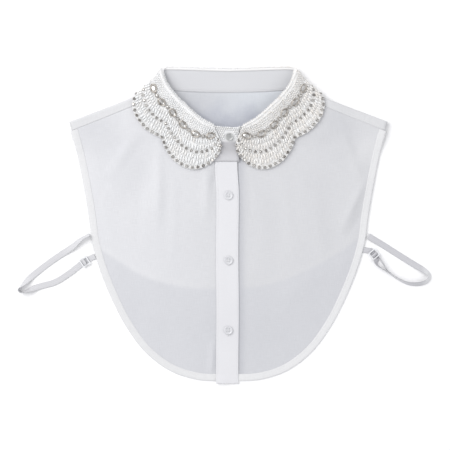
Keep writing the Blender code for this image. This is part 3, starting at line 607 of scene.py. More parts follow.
def front_z(x, y, fine=True):
    """Base height, its folds, the pressed edge, and the shoulder as exp(-(distance / 30)^2)."""
    hem = np.array(BACK_HEM)
    hem_y = np.interp(x, hem[:, 0], hem[:, 1])
    start, end = (74.0, 10.0) if fine else (38.0, 13.0)
    over_back = smooth(y, hem_y - start, hem_y - end)
    base = FRONT_ON_TABLE + (FRONT_ON_BACK - FRONT_ON_TABLE) * over_back
    base = base + (back_z(x, y) - BACK_ON_TABLE) * 0.75 + ridges(x, y, FOLDS)
    if fine:
        ripple = 0.10 * np.sin(x * 0.11 + 1.7 * np.sin(y * 0.043)) * np.sin(y * 0.071 + 0.5)
        base = base + np.maximum(ridges(x, y, SMALL_FOLDS), -0.9) + ripple
        edge = np.array(OUTLINE)
        from_edge = np.interp(-y, -edge[:, 1], edge[:, 0]) - np.abs(x)
        pressed = 1.6 * (1.0 - smooth(from_edge, 1.0, 22.0)) * over_back
        base = base - pressed * (1.0 - smooth(y, 80.0, 104.0))
        base = np.maximum(base, FRONT_ON_TABLE + 0.85 * over_back)
    below = np.maximum(shoulder_y(x) - y, 0.0) * SHOULDER_COS
    rise = np.exp(-((below / 30.0) ** 2)) * smooth(y, 70.0, 100.0)
    return base + (fold_height(x) - base) * rise


def on_front(points, lift=0.0, fine=True):
    """Points in plan set on the front layer, a lift above it."""
    x, y = points[..., 0], points[..., 1]
    return np.stack([x, y, front_z(x, y, fine) + lift], axis=-1)


def on_back(points, lift=0.0):
    """Points in plan set on the back layer, with a slight ripple, a lift above it."""
    x, y = points[..., 0], points[..., 1]
    ripple = 0.12 * np.sin(x * 0.05 + 0.8) * np.sin(y * 0.06)
    return np.stack([x, y, back_z(x, y) + np.maximum(ripple, -0.1) + lift], axis=-1)


print("front layer at the chest, mm:", round(float(front_z(np.array(60.0), np.array(0.0))), 2))

# %% [markdown]
# ## The cut
# Each front is a shield shape with the placket on one side and the long outline on the
# other. A patch fills four border curves: it blends the opposite borders and takes away the
# corners that were counted twice, so the grid follows the cut edge and the cloth's rim
# comes out smooth.

# %% Neck seam and patches
SEAM_ON_OUTLINE, OUTLINE_CORNER = 0.0285, 0.66
NECK_SEAM = [
    # x, y, side: 1 is on the front layer, -1 is on the back layer
    (0.0, 73.4, 1.0),
    (20.2, 77.3, 1.0),
    (39.2, 85.7, 1.0),
    (58.2, 98.0, 1.0),
    (73.9, 112.0, 1.0),
    (84.4, 126.6, 1.0),
    (89.2, 138.5, 1.0),
    (90.0, 145.5, 0.8),
    (89.2, 149.9, 0.0),
    (86.8, 151.3, -0.8),
    (80.6, 152.3, -1.0),
    (61.6, 151.0, -1.0),
    (31.4, 149.4, -1.0),
    (0.0, 149.0, -1.0),
]
PLACKET_LEFT, PLACKET_RIGHT, PLACKET_BOTTOM, BANDS_TOP = -13.6, 12.4, -176.6, 73.0


def inward(curve):
    """Unit vectors square to a curve, toward the garment's middle."""
    along = unit(np.gradient(curve[:, :2], axis=0))
    return np.stack([along[:, 1], -along[:, 0]], axis=1)


def patch(top, bottom, left, right):
    """Blend of opposite borders less the blend of the four corners."""
    u = np.linspace(0.0, 1.0, len(top))[None, :, None]
    v = np.linspace(0.0, 1.0, len(left))[:, None, None]
    across = (1 - v) * top[None] + v * bottom[None]
    down = (1 - u) * left[:, None] + u * right[:, None]
    corners = (1 - u) * (1 - v) * top[0] + u * (1 - v) * top[-1]
    corners = corners + (1 - u) * v * bottom[0] + u * v * bottom[-1]
    return across + down - corners


print("neck seam, points on one half:", len(NECK_SEAM))

# %% [markdown]
# ## One front's grid
# The four borders of a front are the placket side, the armhole and hem curve, and a top
# line that goes along the neck and then along the shoulder seam. The top line gets more
# columns at the neck, where it curves most.

# %% Shoulder lines and the front's cut
NECK_X, TOP_CORNER_Y, NEAR_NECK, BOTTOM_STEPS = 91.6, 75.6, 0.55, 600


def shoulder_lines(count):
    """Points on the shoulder fold and on the front seam, from the tip to the neck."""
    share = np.linspace(0.0, 1.0, count)[:, None]
    fold = (1 - share) * [TIP_X - 1.4, TIP_Y + 0.5] + share * [NECK_X, shoulder_y(NECK_X)]
    tip_seam = np.array([TIP_X - 4.6, TIP_Y - SEAM_BELOW_FOLD + 0.2])
    neck_seam = np.array([NECK_X + 1.4, shoulder_y(NECK_X) - SEAM_BELOW_FOLD - 0.4])
    return fold, (1 - share) * tip_seam + share * neck_seam


def front_cut(inner_x, down_count, across_count, inset):
    """Grid of one front, drawn on the right half and inset a little from the outline."""
    right = evenly(OUTLINE, down_count, SEAM_ON_OUTLINE, OUTLINE_CORNER)
    bottom = evenly(OUTLINE, BOTTOM_STEPS, 1.0, OUTLINE_CORNER)
    right = right + inward(right) * inset
    bottom = bottom - inward(bottom) * inset
    bottom = bottom[bottom[:, 0] > inner_x]
    bottom = resample(bottom, np.linspace(0.0, lengths(bottom)[-1], across_count))
    bottom[-1] = right[-1]
    _, seam = shoulder_lines(40)
    seam = seam + [0.3, 1.2]
    seam[0] = right[0] + [-0.3, 0.6]
    neck = through([row[:2] for row in NECK_SEAM[:7]], np.linspace(0.0, 1.0, 60))
    neck = neck[neck[:, 0] > inner_x + 1.5] + [0.3, -0.7]
    neck[:, 1] += 1.7 * (1.0 - smooth(neck[:, 0], 15.0, 24.0))
    line = np.concatenate([[[inner_x, TOP_CORNER_Y]], neck, seam[::-1]])
    corner = lengths(line)[len(neck)]
    near = int(across_count * NEAR_NECK)
    wanted = np.concatenate([
        np.linspace(0.0, corner, near),
        np.linspace(corner, lengths(line)[-1], across_count - near + 1)[1:],
    ])
    top = resample(line, wanted)
    left = np.linspace(top[0], bottom[0], down_count)
    return patch(top, bottom, left, right)


print("shoulder fold at the neck, mm:", round(float(shoulder_y(NECK_X)), 1))

# %% [markdown]
# ## Front panels
# Two sheets of one layer of voile. Solidify gives the sheet its two faces; the wall is
# 0.3 mm, thicker than real voile so that the faces don't flicker, and still thin to the eye.
# Wide soft spots, a few per cent darker or lighter, are stored on the mesh as marks of
# painted shade and painted light: real cloth bows by less than a millimetre there, too little
# to build and still seen in light. Beside the placket's right edge the left front also
# carries a painted shadow.

# %% Front panels
CLOTH, CUT_INSET = 0.3, 0.9
PANEL_ROWS, PANEL_COLUMNS = 150, 110
SHADED_SPOTS = [
    # x, y, radius, amount
    (-150.0, 112.0, 24.0, 0.26),
    (-121.0, 76.0, 26.0, 0.11),
    (120.0, 112.0, 24.0, 0.20),
    (-16.0, 52.0, 7.0, 0.10),
]
LIT_SPOTS = [
    # x, y, radius, amount
    (160.0, 86.0, 17.0, 0.30),
    (-12.0, -160.0, 30.0, 0.04),
]


def soft_spots(cut, spots):
    """Sum of amount * exp(-(distance / radius)^2): where the panel bows from or to the light."""
    spots = np.array(spots)[:, :, None, None]
    distance = np.hypot(cut[None, ..., 0] - spots[:, 0], cut[None, ..., 1] - spots[:, 1])
    return (spots[:, 3] * np.exp(-((distance / spots[:, 2]) ** 2))).sum(axis=0)


for side_name, sign, inner_x in (("right", -1.0, 9.0), ("left", 1.0, 10.5)):
    cut = front_cut(inner_x, PANEL_ROWS, PANEL_COLUMNS, CUT_INSET)
    cut[..., 0] *= sign
    if sign < 0:
        cut = cut[:, ::-1]
    hem = evenly(BACK_HEM, 200)
    from_hem = (cut[..., 1] - np.interp(cut[..., 0], hem[:, 0], hem[:, 1])) * 0.93
    grid = on_front(cut)
    above_seam = cut[..., 1] - (shoulder_y(cut[..., 0]) - SEAM_BELOW_FOLD - 0.2)
    grid[..., 2] -= 0.35 * smooth(above_seam, 0.0, 0.9)
    # painted shadow: the left front darkens next to the placket's right edge
    beside = np.exp(-((np.maximum(cut[..., 0] - PLACKET_RIGHT, 0.0) / 5.5) ** 2)) * (sign > 0.0)
    shaded = np.clip(0.62 * beside + soft_spots(cut, SHADED_SPOTS), 0.0, 1.0)
    piece = sheet_piece(
        "front_panel_" + side_name, grid, front_voile.material, CLOTH, uv=cut,
        from_hem=from_hem, shaded=shaded, lit=soft_spots(cut, LIT_SPOTS),
    )
    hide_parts("front_" + side_name)
    cell_down, cell_across = np.diff(cut, axis=0)[:, :-1], np.diff(cut, axis=1)[:-1]
    turned_area = cell_down[..., 0] * cell_across[..., 1] - cell_down[..., 1] * cell_across[..., 0]
    area = float(np.abs(turned_area).sum()) * MM * MM
    print("front", side_name, "flat area in square metres", round(area, 4))

# %% [markdown]
# ## Edge bands
# The armhole and hem are bound with a strip of the same voile, folded round the raw edge and
# stitched. The strip's section is a hook: across the top, round the edge and back under it.
# The section is carried along the outline with its width along the inward vector.

# %% Edge bands
EDGE_STEPS = 420
BAND_SECTION = [
    # inset from the outline, lift over the panel's middle
    (7.9, 0.12),
    (7.4, 0.25),
    (6.6, 0.38),
    (5.9, 0.33),
    (5.0, 0.46),
    (3.0, 0.56),
    (1.2, 0.50),
    (0.25, 0.30),
    (0.10, 0.00),
    (0.40, -0.35),
    (1.6, -0.42),
    (3.2, -0.42),
]


def band_along(edge, toward, section, surface):
    """Section carried along an edge; a slight pucker runs along the stitching."""
    section = np.array(section)
    plan = edge[:, None] + toward[:, None] * section[None, :, 0:1]
    grid = surface(plan)
    place = lengths(edge)[:, None]
    pucker = 0.05 * np.sin(place * 2.1) * np.sin(place * 0.63 + 1.0)
    grid[..., 2] += section[None, :, 1] + pucker * (section[None, :, 1] > 0.3)
    grid[..., 2] = np.maximum(grid[..., 2], 0.12)
    return grid


for side_name, sign, band_end in (("right", -1.0, 11.0), ("left", 1.0, 10.0)):
    edge = evenly(OUTLINE, EDGE_STEPS, SEAM_ON_OUTLINE, 1.0)[:, :2]
    toward = inward(edge)
    kept = edge[:, 0] > band_end
    edge, toward = edge[kept] * [sign, 1.0], toward[kept] * [sign, 1.0]
    grid = band_along(edge, toward, BAND_SECTION, on_front)
    grid = grid[:, :: int(sign)]
    piece = sheet_piece("edge_band_" + side_name, grid, double_voile.material, CLOTH)
    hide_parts("front_band_" + side_name)

# %% [markdown]
# ## Back panel
# One sheet goes from the hem to the neck and, at each side, over the shoulder and down to a
# seam on the front. The turn is a half circle carried along the shoulder line. The grid has
# rows for the turn right across, and the cells between the two shoulders are left out.

# %% Back panel's grid
TURN_ROWS, ON_TOP_ROWS = 15, 8


def back_grid(shoulder_count, neck_count, rows):
    """Rows of the turn: centre + outward * radius * cos(angle), height by sin(angle).

    Below them a patch fills the space between the neck line, the hem and the sides."""
    fold, seam = shoulder_lines(shoulder_count)
    neck = through([row[:2] for row in NECK_SEAM[10:]], np.linspace(0.0, 1.0, neck_count))
    neck = neck + [0.0, 1.2]
    outward = np.array([SHOULDER_SLOPE * SHOULDER_COS, SHOULDER_COS])
    high = fold_height(fold[:, 0])
    low = back_z(fold[:, 0], fold[:, 1])
    radius = (high - low) / 2.0
    centre = fold - outward * (radius + 0.3)[:, None]
    angles = np.radians(np.linspace(-90.0, 90.0, TURN_ROWS))[:, None, None]
    plan = centre + outward * radius[None, :, None] * np.cos(angles)
    height = (high + low) / 2.0 + radius * np.sin(angles[..., 0])
    turn = np.concatenate([plan, height[..., None]], axis=-1)
    shares = np.linspace(0.0, 1.0, ON_TOP_ROWS + 1)[1:, None, None]
    on_top = on_front((1 - shares) * centre + shares * seam)
    on_top[..., 2] += 0.14 * smooth(shares[..., 0], 0.3, 0.8) - 0.10 * (shares[..., 0] == 1.0)
    turn = np.concatenate([turn, on_top])
    neck_line = np.column_stack([neck, back_z(neck[:, 0], neck[:, 1]) - 0.42])
    half_top = np.concatenate([turn[0], neck_line])
    top = np.concatenate([mirrored(half_top), half_top[::-1][1:]])
    hem = evenly(BACK_HEM, len(top))
    outline = through(OUTLINE, np.linspace(0.0, 1.0, 400))
    sides = []
    for end in (hem[0], hem[-1]):
        y = np.linspace(top[0, 1], end[1], rows)
        x = np.interp(-y, -outline[:, 1], outline[:, 0]) - 1.6
        sides.append(np.stack([x * np.sign(end[0]), y], axis=1))
    sides[0][0], sides[1][0] = top[0, :2], top[-1, :2]
    hem[0], hem[-1] = sides[0][-1], sides[1][-1]
    body = on_back(patch(top[:, :2], hem, sides[0], sides[1]))
    body[0] = top
    wraps = np.zeros((len(turn) - 1, len(top), 3))
    wraps[:] = top
    wraps[:, :shoulder_count] = mirrored(turn[1:])
    wraps[:, -shoulder_count:] = turn[1:, ::-1]
    grid = np.concatenate([wraps[::-1], body])
    keep = np.ones((len(grid) - 1, len(top) - 1), bool)
    keep[: len(wraps), shoulder_count - 1 : -(shoulder_count - 1)] = False
    return grid, keep, hem


print("rows that turn over the shoulder:", TURN_ROWS + ON_TOP_ROWS - 1)

# %% [markdown]
# ## The back panel's sheet
# The cloth's own map runs in millimetres along one row and down each column, because the
# columns at the shoulders are longer than those at the neck. The rows of the wrap are
# marked for the finish.

# %% Back panel
grid, keep, hem_line = back_grid(26, 30, 70)
wrap = np.zeros(grid.shape[:2])
wrap[: TURN_ROWS + ON_TOP_ROWS - 1] = 1.0
across = np.broadcast_to(lengths(grid[40]), grid.shape[:2])
down_each = np.stack([lengths(grid[:, k]) for k in range(grid.shape[1])], axis=1)
back_uv = np.stack([across, down_each], axis=-1)
back_piece = sheet_piece(
    "back_panel_cloth", grid, back_voile.material, CLOTH, keep=keep, uv=back_uv, wrap=wrap
)
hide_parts("back_panel")

# %% [markdown]
# ## Back hem
# The raw lower edge is turned up twice and sewn, which leaves a band about 6 mm deep. The
# same way of carrying a hook section along an edge makes it.

# %% Back hem
HEM_SECTION = [
    # inset from the hem, lift over the panel's middle
    (6.2, 0.35),
    (5.9, 0.72),
    (4.4, 0.84),
    (1.6, 0.84),
    (0.1, 0.62),
    (-0.25, 0.10),
    (0.1, -0.30),
    (2.4, -0.34),
]
hem_edge = evenly(hem_line, 260)
grid = band_along(hem_edge, -inward(hem_edge), HEM_SECTION, on_back)
hem_piece = sheet_piece("back_hem", grid, double_voile.material, CLOTH)
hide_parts("back_hem_band")

# %% [markdown]
# ## Placket and button stand
# The placket is a band folded so that both long edges are soft rolls, with a row of stitches
# just inside each. Its section is a closed flat ring. The right edge lifts off the panel a
# little, which gives the thin dark line beside it, and a painted shadow on the front panel
# widens that line. The button stand is a plain strip below.

# %% Placket
PLACKET_HALF, STITCH_INSET = 0.36, 2.2
PLACKET_ROWS, PLACKET_COLUMNS = 240, 60


def placket_drift(y):
    """The band isn't quite straight: it leans at the neck and waves a little."""
    return 0.22 * np.sin(y * 0.05) - 1.3 * smooth(y, 36.0, 66.0) - 0.5


def placket_grid():
    """Flat ring: x runs across and back, z is the lift plus or minus the half thickness."""
    turn = np.linspace(0.0, 2.0 * math.pi, PLACKET_COLUMNS, endpoint=False)
    half_width = (PLACKET_RIGHT - PLACKET_LEFT) / 2.0 - 0.4
    middle = (PLACKET_RIGHT + PLACKET_LEFT) / 2.0 - 0.1
    across = np.sign(np.cos(turn)) * np.abs(np.cos(turn)) ** 0.35
    x = middle + half_width * across
    z = PLACKET_HALF * np.sign(np.sin(turn)) * np.abs(np.sin(turn)) ** 0.5
    y = np.linspace(BANDS_TOP + 0.9, PLACKET_BOTTOM, PLACKET_ROWS)
    x, y_grid = np.meshgrid(x, y)
    x = x + placket_drift(y_grid)
    stitch_line = np.exp(-((np.abs(x - middle) - half_width + STITCH_INSET) / 0.5) ** 2)
    pucker = 0.06 * np.sin(y_grid * 1.9) * np.sin(y_grid * 0.37)
    level = np.maximum(front_z(np.zeros_like(x), y_grid), front_z(x, y_grid))
    lifted_edge = 0.15 * smooth(x, 5.0, PLACKET_RIGHT) * (0.6 + 0.4 * np.sin(y_grid * 0.03))
    corner = 1.4 * (1.0 - smooth(y_grid, PLACKET_BOTTOM, -165.0)) * (1.0 - smooth(x, -8.0, 3.0))
    lift = 0.72 + 0.15 * smooth(x, PLACKET_LEFT, -2.0) + lifted_edge + corner
    height = level + lift + z - 0.14 * stitch_line * np.sign(z) + pucker
    return np.stack([x, y_grid, height], axis=-1)


grid = placket_grid()
faces = closed_tube_faces(*grid.shape[:2])
placket = make_piece("placket_cloth", grid, faces, placket_voile.material, distances(grid))
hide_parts("placket")
y = np.linspace(BANDS_TOP + 3.4, PLACKET_BOTTOM + 0.4, 200)
x = np.linspace(-8.6, PLACKET_RIGHT - 2.4, 16)
grid = on_front(np.stack(np.meshgrid(x, y), axis=-1))
stand_under = sheet_piece("button_stand_cloth", grid, double_voile.material, CLOTH)
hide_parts("button_stand")

# %% [markdown]
# ## Collar stand
# A strip of interfaced voile that runs all round the neck. At the front it leans on the
# front layer, and at the back we look at its inner face. Each cross line goes from the neck
# seam to the fold, and the strip turns over by itself at the side of the neck because the
# seam passes from the front layer to the back one there.

# %% Stand's grid
NECK_FOLD = [
    # x, y, z
    (0.0, 108.6, 12.0),
    (16.5, 111.0, 12.0),
    (30.5, 118.0, 12.2),
    (43.0, 128.5, 12.4),
    (55.0, 139.8, 12.4),
    (65.0, 150.6, 12.2),
    (71.0, 160.5, 11.6),
    (73.8, 167.5, 10.2),
    (74.8, 171.8, 7.8),
    (73.6, 174.8, 5.4),
    (69.0, 176.0, 3.8),
    (54.0, 176.0, 3.4),
    (28.0, 175.2, 3.3),
    (0.0, 174.4, 3.3),
]


def stand_grid(per_row, shares):
    """Seam point times (1 - share) plus fold point times share, with lapped ends apart."""
    at = np.linspace(0.0, len(NECK_SEAM) - 1.0, per_row * (len(NECK_SEAM) - 1) + 1)
    seam, fold = by_row(NECK_SEAM, at), by_row(NECK_FOLD, at)
    front = front_z(seam[:, 0], seam[:, 1], fine=False)
    back = back_z(seam[:, 0], seam[:, 1])
    height = (front + back) / 2.0 + np.clip(seam[:, 2], -1.0, 1.0) * (front - back) / 2.0
    half_seam = np.column_stack([seam[:, :2], height])
    seam_line = np.concatenate([mirrored(half_seam), half_seam[::-1][1:]])
    fold_line = np.concatenate([mirrored(fold), fold[::-1][1:]])
    seam_line[0, 0], fold_line[0, 0] = 12.2, 11.8
    seam_line[-1, 0], fold_line[-1, 0] = -9.5, -9.5
    shares = np.asarray(shares)[None, :, None]
    grid = (1 - shares) * seam_line[:, None] + shares * fold_line[:, None]
    row = np.arange(len(seam_line)) * 2.0 / per_row
    count = row[-1] + 1.0
    over = 1.0 - smooth(row, 2.0, 8.0)
    under = smooth(row, count - 9.0, count - 3.0)
    grid[..., 2] += (over * 0.8 - under * 0.9)[:, None]
    return grid


print("fold line, points on one half:", len(NECK_FOLD))

# %% [markdown]
# ## The stand's two ends
# The ends lap over each other under the neck button. Both get even steps, and then the
# upper one is drawn down over the placket's top and lies clear of it.

# %% Collar stand
LAP_Y, STAND_CLOTH = 71.8, 0.4


def round_ends(grid):
    """The two short ends are put back in even steps, so no long cell is left there."""
    first = np.linspace(0.0, 1.0, 9)[:, None, None]
    start = (1 - first) * grid[0] + first * grid[8]
    finish = (1 - first) * grid[-9] + first * grid[-1]
    return np.concatenate([start, grid[9:-9], finish])


def lap_over(grid, shares):
    """The upper end's lower edge is drawn down to LAP_Y over the placket and lifted clear.

    At the back the foot is pressed into the panel by a quarter of a millimetre."""
    upper_end = (np.arange(len(grid)) < 14)[:, None]
    near = (1.0 - smooth(np.abs(grid[..., 0] + 1.0), 15.0, 21.0)) * upper_end
    pull = near * (1.0 - shares) ** 2
    grid[..., 1] -= (grid[:, :1, 1] - LAP_Y) * pull
    grid[..., 2] += 0.62 * pull
    grid[:, 0, 2] -= 0.22 * near[:, 0]
    on_back_layer = smooth(grid[:, 0, 1], 140.0, 148.0)[:, None]
    grid[:, :2, 2] -= on_back_layer * [0.24, 0.10]
    return grid


stand_shares = np.linspace(0.02, 1.0, 18)
grid = lap_over(round_ends(stand_grid(8, stand_shares)), stand_shares)
stand = sheet_piece("collar_stand_cloth", grid[:, ::-1], stand_voile.material, STAND_CLOTH)
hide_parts("collar_stand")
stand_points = grid

# %% [markdown]
# ## Collar leaf
# The leaf folds down over the stand and is cut in scallops. It is a surface of two
# parameters: t runs round the neck in rows of the table, and w runs from the fold to the
# scalloped edge. Side says which layer the edge lies on: 1 on the front, -1 under the back.
# The profile says how the cloth rolls over at the fold and comes down.

# %% Leaf tables
LEAF = [
    # fold x, fold y, fold z, edge x, edge y, side
    (15.0, 110.6, 12.9, 8.0, 92.0, 1.0),
    (17.0, 111.3, 12.9, 9.8, 83.0, 1.0),
    (20.5, 112.8, 12.8, 15.5, 74.2, 1.0),
    (25.0, 115.0, 12.7, 24.0, 67.4, 1.0),
    (30.5, 118.2, 12.5, 36.5, 63.2, 1.0),
    (36.0, 122.4, 12.3, 48.8, 65.2, 1.0),
    (42.0, 127.6, 12.4, 59.5, 71.6, 1.0),
    (48.0, 133.2, 12.4, 67.2, 80.4, 1.0),
    (54.0, 138.8, 12.4, 72.2, 89.2, 1.0),
    (59.0, 144.0, 12.4, 75.0, 97.4, 1.0),
    (62.5, 147.8, 12.3, 83.5, 101.8, 1.0),
    (65.5, 151.4, 12.2, 92.5, 107.4, 1.0),
    (68.5, 155.6, 12.0, 100.0, 115.6, 1.0),
    (71.0, 160.3, 11.6, 105.2, 125.0, 1.0),
    (72.8, 164.6, 11.0, 107.2, 134.0, 1.0),
    (73.8, 167.6, 10.2, 106.4, 140.6, 0.9),
    (74.5, 170.0, 9.1, 104.4, 145.2, 0.55),
    (74.8, 171.8, 7.8, 102.0, 147.2, 0.0),
    (74.3, 173.5, 6.4, 99.5, 146.6, -0.55),
    (72.6, 175.2, 5.0, 96.6, 143.4, -0.9),
    (69.0, 176.0, 3.8, 92.0, 138.0, -1.0),
    (63.5, 176.1, 3.5, 85.0, 136.4, -1.0),
    (57.0, 176.0, 3.4, 77.0, 128.6, -1.0),
    (49.5, 175.9, 3.4, 64.0, 123.4, -1.0),
    (42.0, 175.7, 3.3, 51.0, 124.4, -1.0),
    (34.5, 175.4, 3.3, 40.0, 131.2, -1.0),
    (25.0, 175.1, 3.3, 29.0, 124.4, -1.0),
    (12.5, 174.7, 3.3, 14.0, 120.6, -1.0),
    (0.0, 174.4, 3.3, 0.0, 119.6, -1.0),
]
LEAF_PROFILE = [
    # mm from the fold, share of the length, lift in mm, share of the fold's height
    (-1.9, 0.00, 0.3, 1.00),
    (-1.4, 0.00, 2.0, 1.00),
    (1.2, 0.02, 2.5, 0.97),
    (0.0, 0.20, 1.5, 0.73),
    (0.0, 0.40, 0.7, 0.42),
    (0.0, 0.62, 0.2, 0.19),
    (0.0, 0.80, 0.0, 0.07),
    (0.0, 1.00, 0.0, 0.00),
]
LEAF_WALL, LEAF_CLOTH = 1.0, 0.5
PER_ROW = 6
LAST_T = 2.0 * (len(LEAF) - 1)
print("leaf rows right round:", int(LAST_T) + 1)

# %% [markdown]
# ## Keeping the leaf clear
# A smooth surface drawn through a table would pass through the shoulders or the stand here
# and there. Real cloth is pushed out by what it lies on, and so are the points.

# %% Pushing points out
def clear_of_body(points, needed):
    """Push out of the two layers: away from their middle by the missing distance."""
    x = np.abs(points[..., 0])
    out = (points[..., 1] - shoulder_y(x)) * SHOULDER_COS
    foot_x = x - np.maximum(out, 0.0) * SHOULDER_SLOPE * SHOULDER_COS
    foot_y = points[..., 1] - np.maximum(out + 4.0, 0.0) * SHOULDER_COS
    front = front_z(foot_x * np.sign(points[..., 0] + 1e-9), foot_y, fine=False)
    back = back_z(foot_x, foot_y)
    half = (front - back) / 2.0 + WALL / 2.0
    beyond = np.maximum(out + half, 0.0)
    rise = points[..., 2] - (front + back) / 2.0
    distance = np.maximum(np.hypot(beyond, rise), 1e-6)
    short = np.maximum(half + needed - distance, 0.0) * (x > 86.0)
    push = short * beyond / distance
    moved = points.copy()
    moved[..., 2] += short * rise / distance
    moved[..., 1] += push * SHOULDER_COS
    moved[..., 0] += np.sign(points[..., 0]) * push * SHOULDER_SLOPE * SHOULDER_COS
    return moved


def clear_of_stand(points, spots, needed):
    """Lift to the highest stand point within 3 mm in plan, plus what is needed."""
    flat = points.reshape(-1, 3)
    away_x = np.abs(flat[:, None, 0]) - np.abs(spots[None, :, 0])
    away = np.hypot(away_x, flat[:, None, 1] - spots[None, :, 1])
    floor = np.where(away < 3.0, spots[None, :, 2], -99.0).max(axis=1) + needed
    over_front = (flat[:, 2] > 4.0) & (flat[:, 1] < 150.0)
    lifted = np.where(over_front, np.maximum(flat[:, 2], floor), flat[:, 2])
    return np.column_stack([flat[:, :2], lifted]).reshape(points.shape)


print("stand points to keep clear of:", stand_points.shape[0] * stand_points.shape[1])

# %% [markdown]
# ## The leaf's surface
# One half is worked out and mirrored. A few rounds of averaging over neighbours take out
# the corners that the pushing left. A lip at the start reaches over the stand's edge, where
# a real collar is joined to it.

# %% Collar leaf
def leaf_surface():
    """Fold point plus the way to the edge times w, lifted along the outward normal."""
    at = np.linspace(0.0, len(LEAF) - 1.0, PER_ROW * (len(LEAF) - 1) + 1)
    rows = by_row(LEAF, at)
    fold, edge_xy = mirrored(rows[:, :3]), mirrored(rows[:, 3:5])
    side = np.clip(rows[:, 5], -1.0, 1.0)
    inside_y = np.minimum(edge_xy[:, 1], shoulder_y(edge_xy[:, 0]) - 4.0)
    front = front_z(edge_xy[:, 0], inside_y, fine=False) + WALL / 2.0 + 1.2
    back = back_z(edge_xy[:, 0], inside_y) - WALL / 2.0 - 0.3 - LEAF_WALL / 2.0
    edge = np.column_stack([edge_xy, (front + back) / 2.0 + side * (front - back) / 2.0])
    down = edge - fold
    down_unit = unit(down)
    along = np.gradient(fold, axis=0)
    along[-1] = (1.0, 0.0, 0.0)
    out = unit(np.cross(along, down_unit))
    w = np.concatenate([[0.0, 0.5, 1.0, 1.5], np.linspace(2.0, len(LEAF_PROFILE) - 1.0, 30)])
    profile = by_row(LEAF_PROFILE, w)
    reach, share, lift, level_share = [profile[None, :, k, None] for k in range(4)]
    grid = fold[:, None] + down[:, None] * share + down_unit[:, None] * reach
    level = edge[:, None, 2] + (fold[:, None, 2] - edge[:, None, 2]) * level_share[..., 0]
    blend = np.abs(side)[:, None] ** 2
    grid[..., 2] = grid[..., 2] * (1 - blend) + level * blend
    grid = grid + out[:, None] * lift
    grid = clear_of_body(grid, 0.3 + LEAF_WALL / 2.0 + 0.15)
    spots = stand_points[:, ::2].reshape(-1, 3)
    spots = spots[spots[:, 2] > 3.5]
    grid[:, 4:] = clear_of_stand(grid[:, 4:], spots, WALL / 2.0 + 0.3 + LEAF_WALL / 2.0 + 0.1)
    for _ in range(3):
        grid[1:-1, 4:-1] = (
            grid[1:-1, 4:-1] * 2 + grid[:-2, 4:-1] + grid[2:, 4:-1] + grid[1:-1, 3:-2] + grid[1:-1, 5:]
        ) / 6.0
    top = stand_points[:, -1]
    away = np.linalg.norm(top[None] - fold[:, None], axis=-1)
    top = top[away.argmin(axis=1)]
    for _ in range(6):
        top[1:-1] = (top[:-2] + 2.0 * top[1:-1] + top[2:]) / 4.0
    lip = [top - out * 0.72 + down_unit * 1.3, top - out * 0.78 - down_unit * 0.3]
    lip.append(top - out * 0.50 - down_unit * 1.3)
    grid = np.concatenate([np.stack(lip, axis=1), grid], axis=1)
    full = np.concatenate([grid, mirrored(grid[::-1][1:])])
    facing = normals(full)
    facing = facing * np.sign(facing[12, 14, 2])
    shares = np.concatenate([[-0.10, -0.085, -0.07], profile[:, 1]])
    shares[3:7] = (-0.05, -0.04, -0.03, 0.0)
    return full, facing, shares


leaf_points, leaf_out, leaf_shares = leaf_surface()
leaf = sheet_piece(
    "collar_leaf_cloth", leaf_points - leaf_out * 0.1, leaf_voile.material, LEAF_CLOTH, even=False
)
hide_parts("collar_leaf")
print("leaf surface", leaf_points.shape)

# %% [markdown]
# ## Finding a place on the leaf
# Every bead needs a point, an outward direction and a direction down the leaf. All three are
# read from the leaf's grid by blending the four grid points round the wanted t and w.

# %% Places on the leaf
def blend_grid(values, t, w):
    """Bilinear blend of a grid of vectors at places t (rows) and w (share of the width)."""
    row = np.clip(np.asarray(t) * PER_ROW, 0.0, len(values) - 1.001)
    column = np.interp(w, leaf_shares, np.arange(len(leaf_shares)))
    column = np.clip(column, 0.0, len(leaf_shares) - 1.001)
    r, c = row.astype(int), column.astype(int)
    a, b = (row - r)[..., None], (column - c)[..., None]
    upper = values[r, c] * (1 - b) + values[r, c + 1] * b
    lower = values[r + 1, c] * (1 - b) + values[r + 1, c + 1] * b
    return upper * (1 - a) + lower * a


def leaf_place(t, w):
    """Point on the leaf's outer face, outward unit vector, and unit vector down the leaf."""
    point = blend_grid(leaf_points, t, w)
    out = unit(blend_grid(leaf_out, t, w))
    ahead = blend_grid(leaf_points, t, np.minimum(np.asarray(w) + 0.02, 1.0))
    behind = blend_grid(leaf_points, t, np.maximum(np.asarray(w) - 0.02, leaf_shares[0]))
    down = ahead - behind
    down = unit(down - out * (down * out).sum(-1, keepdims=True))
    return point + out * (LEAF_CLOTH / 2.0 - 0.1), out, down


def steps_along(w, pitch, start=0.0, end=None):
    """Values of t at equal distances along the line of constant w."""
    t = np.linspace(start, LAST_T if end is None else end, 1400)
    line, _, _ = leaf_place(t, np.full_like(t, w))
    along = lengths(line)
    count = max(int(along[-1] / pitch), 1)
    wanted = (np.arange(count) + 0.5) * along[-1] / count
    return np.interp(wanted, along, t)


def scatter(shape, faces, origin, out, down, size):
    """Copies of one small shape: each point is origin + x*side + y*down + z*out, scaled.

    A copy that would reach into the table is lifted by what it lacks."""
    side = np.cross(down, out)
    local = shape[None] * size[:, None]
    points = origin[:, None] + local[..., 0:1] * side[:, None]
    points = points + local[..., 1:2] * down[:, None] + local[..., 2:3] * out[:, None]
    points[..., 2] += np.maximum(0.05 - points[..., 2].min(axis=1), 0.0)[:, None]
    count = len(shape)
    shift = (np.arange(len(origin)) * count)[:, None, None]
    return points.reshape(-1, 3), (faces[None] + shift).reshape(-1, faces.shape[1])


# %% [markdown]
# ## Bead finishes
# White and cream glass with a lustre: pale, smooth and a little translucent, so that light
# spreads in each bead and its shaded side stays pale. The tone is stored on the mesh, one
# number for each bead, and moves a bead from white toward cream.

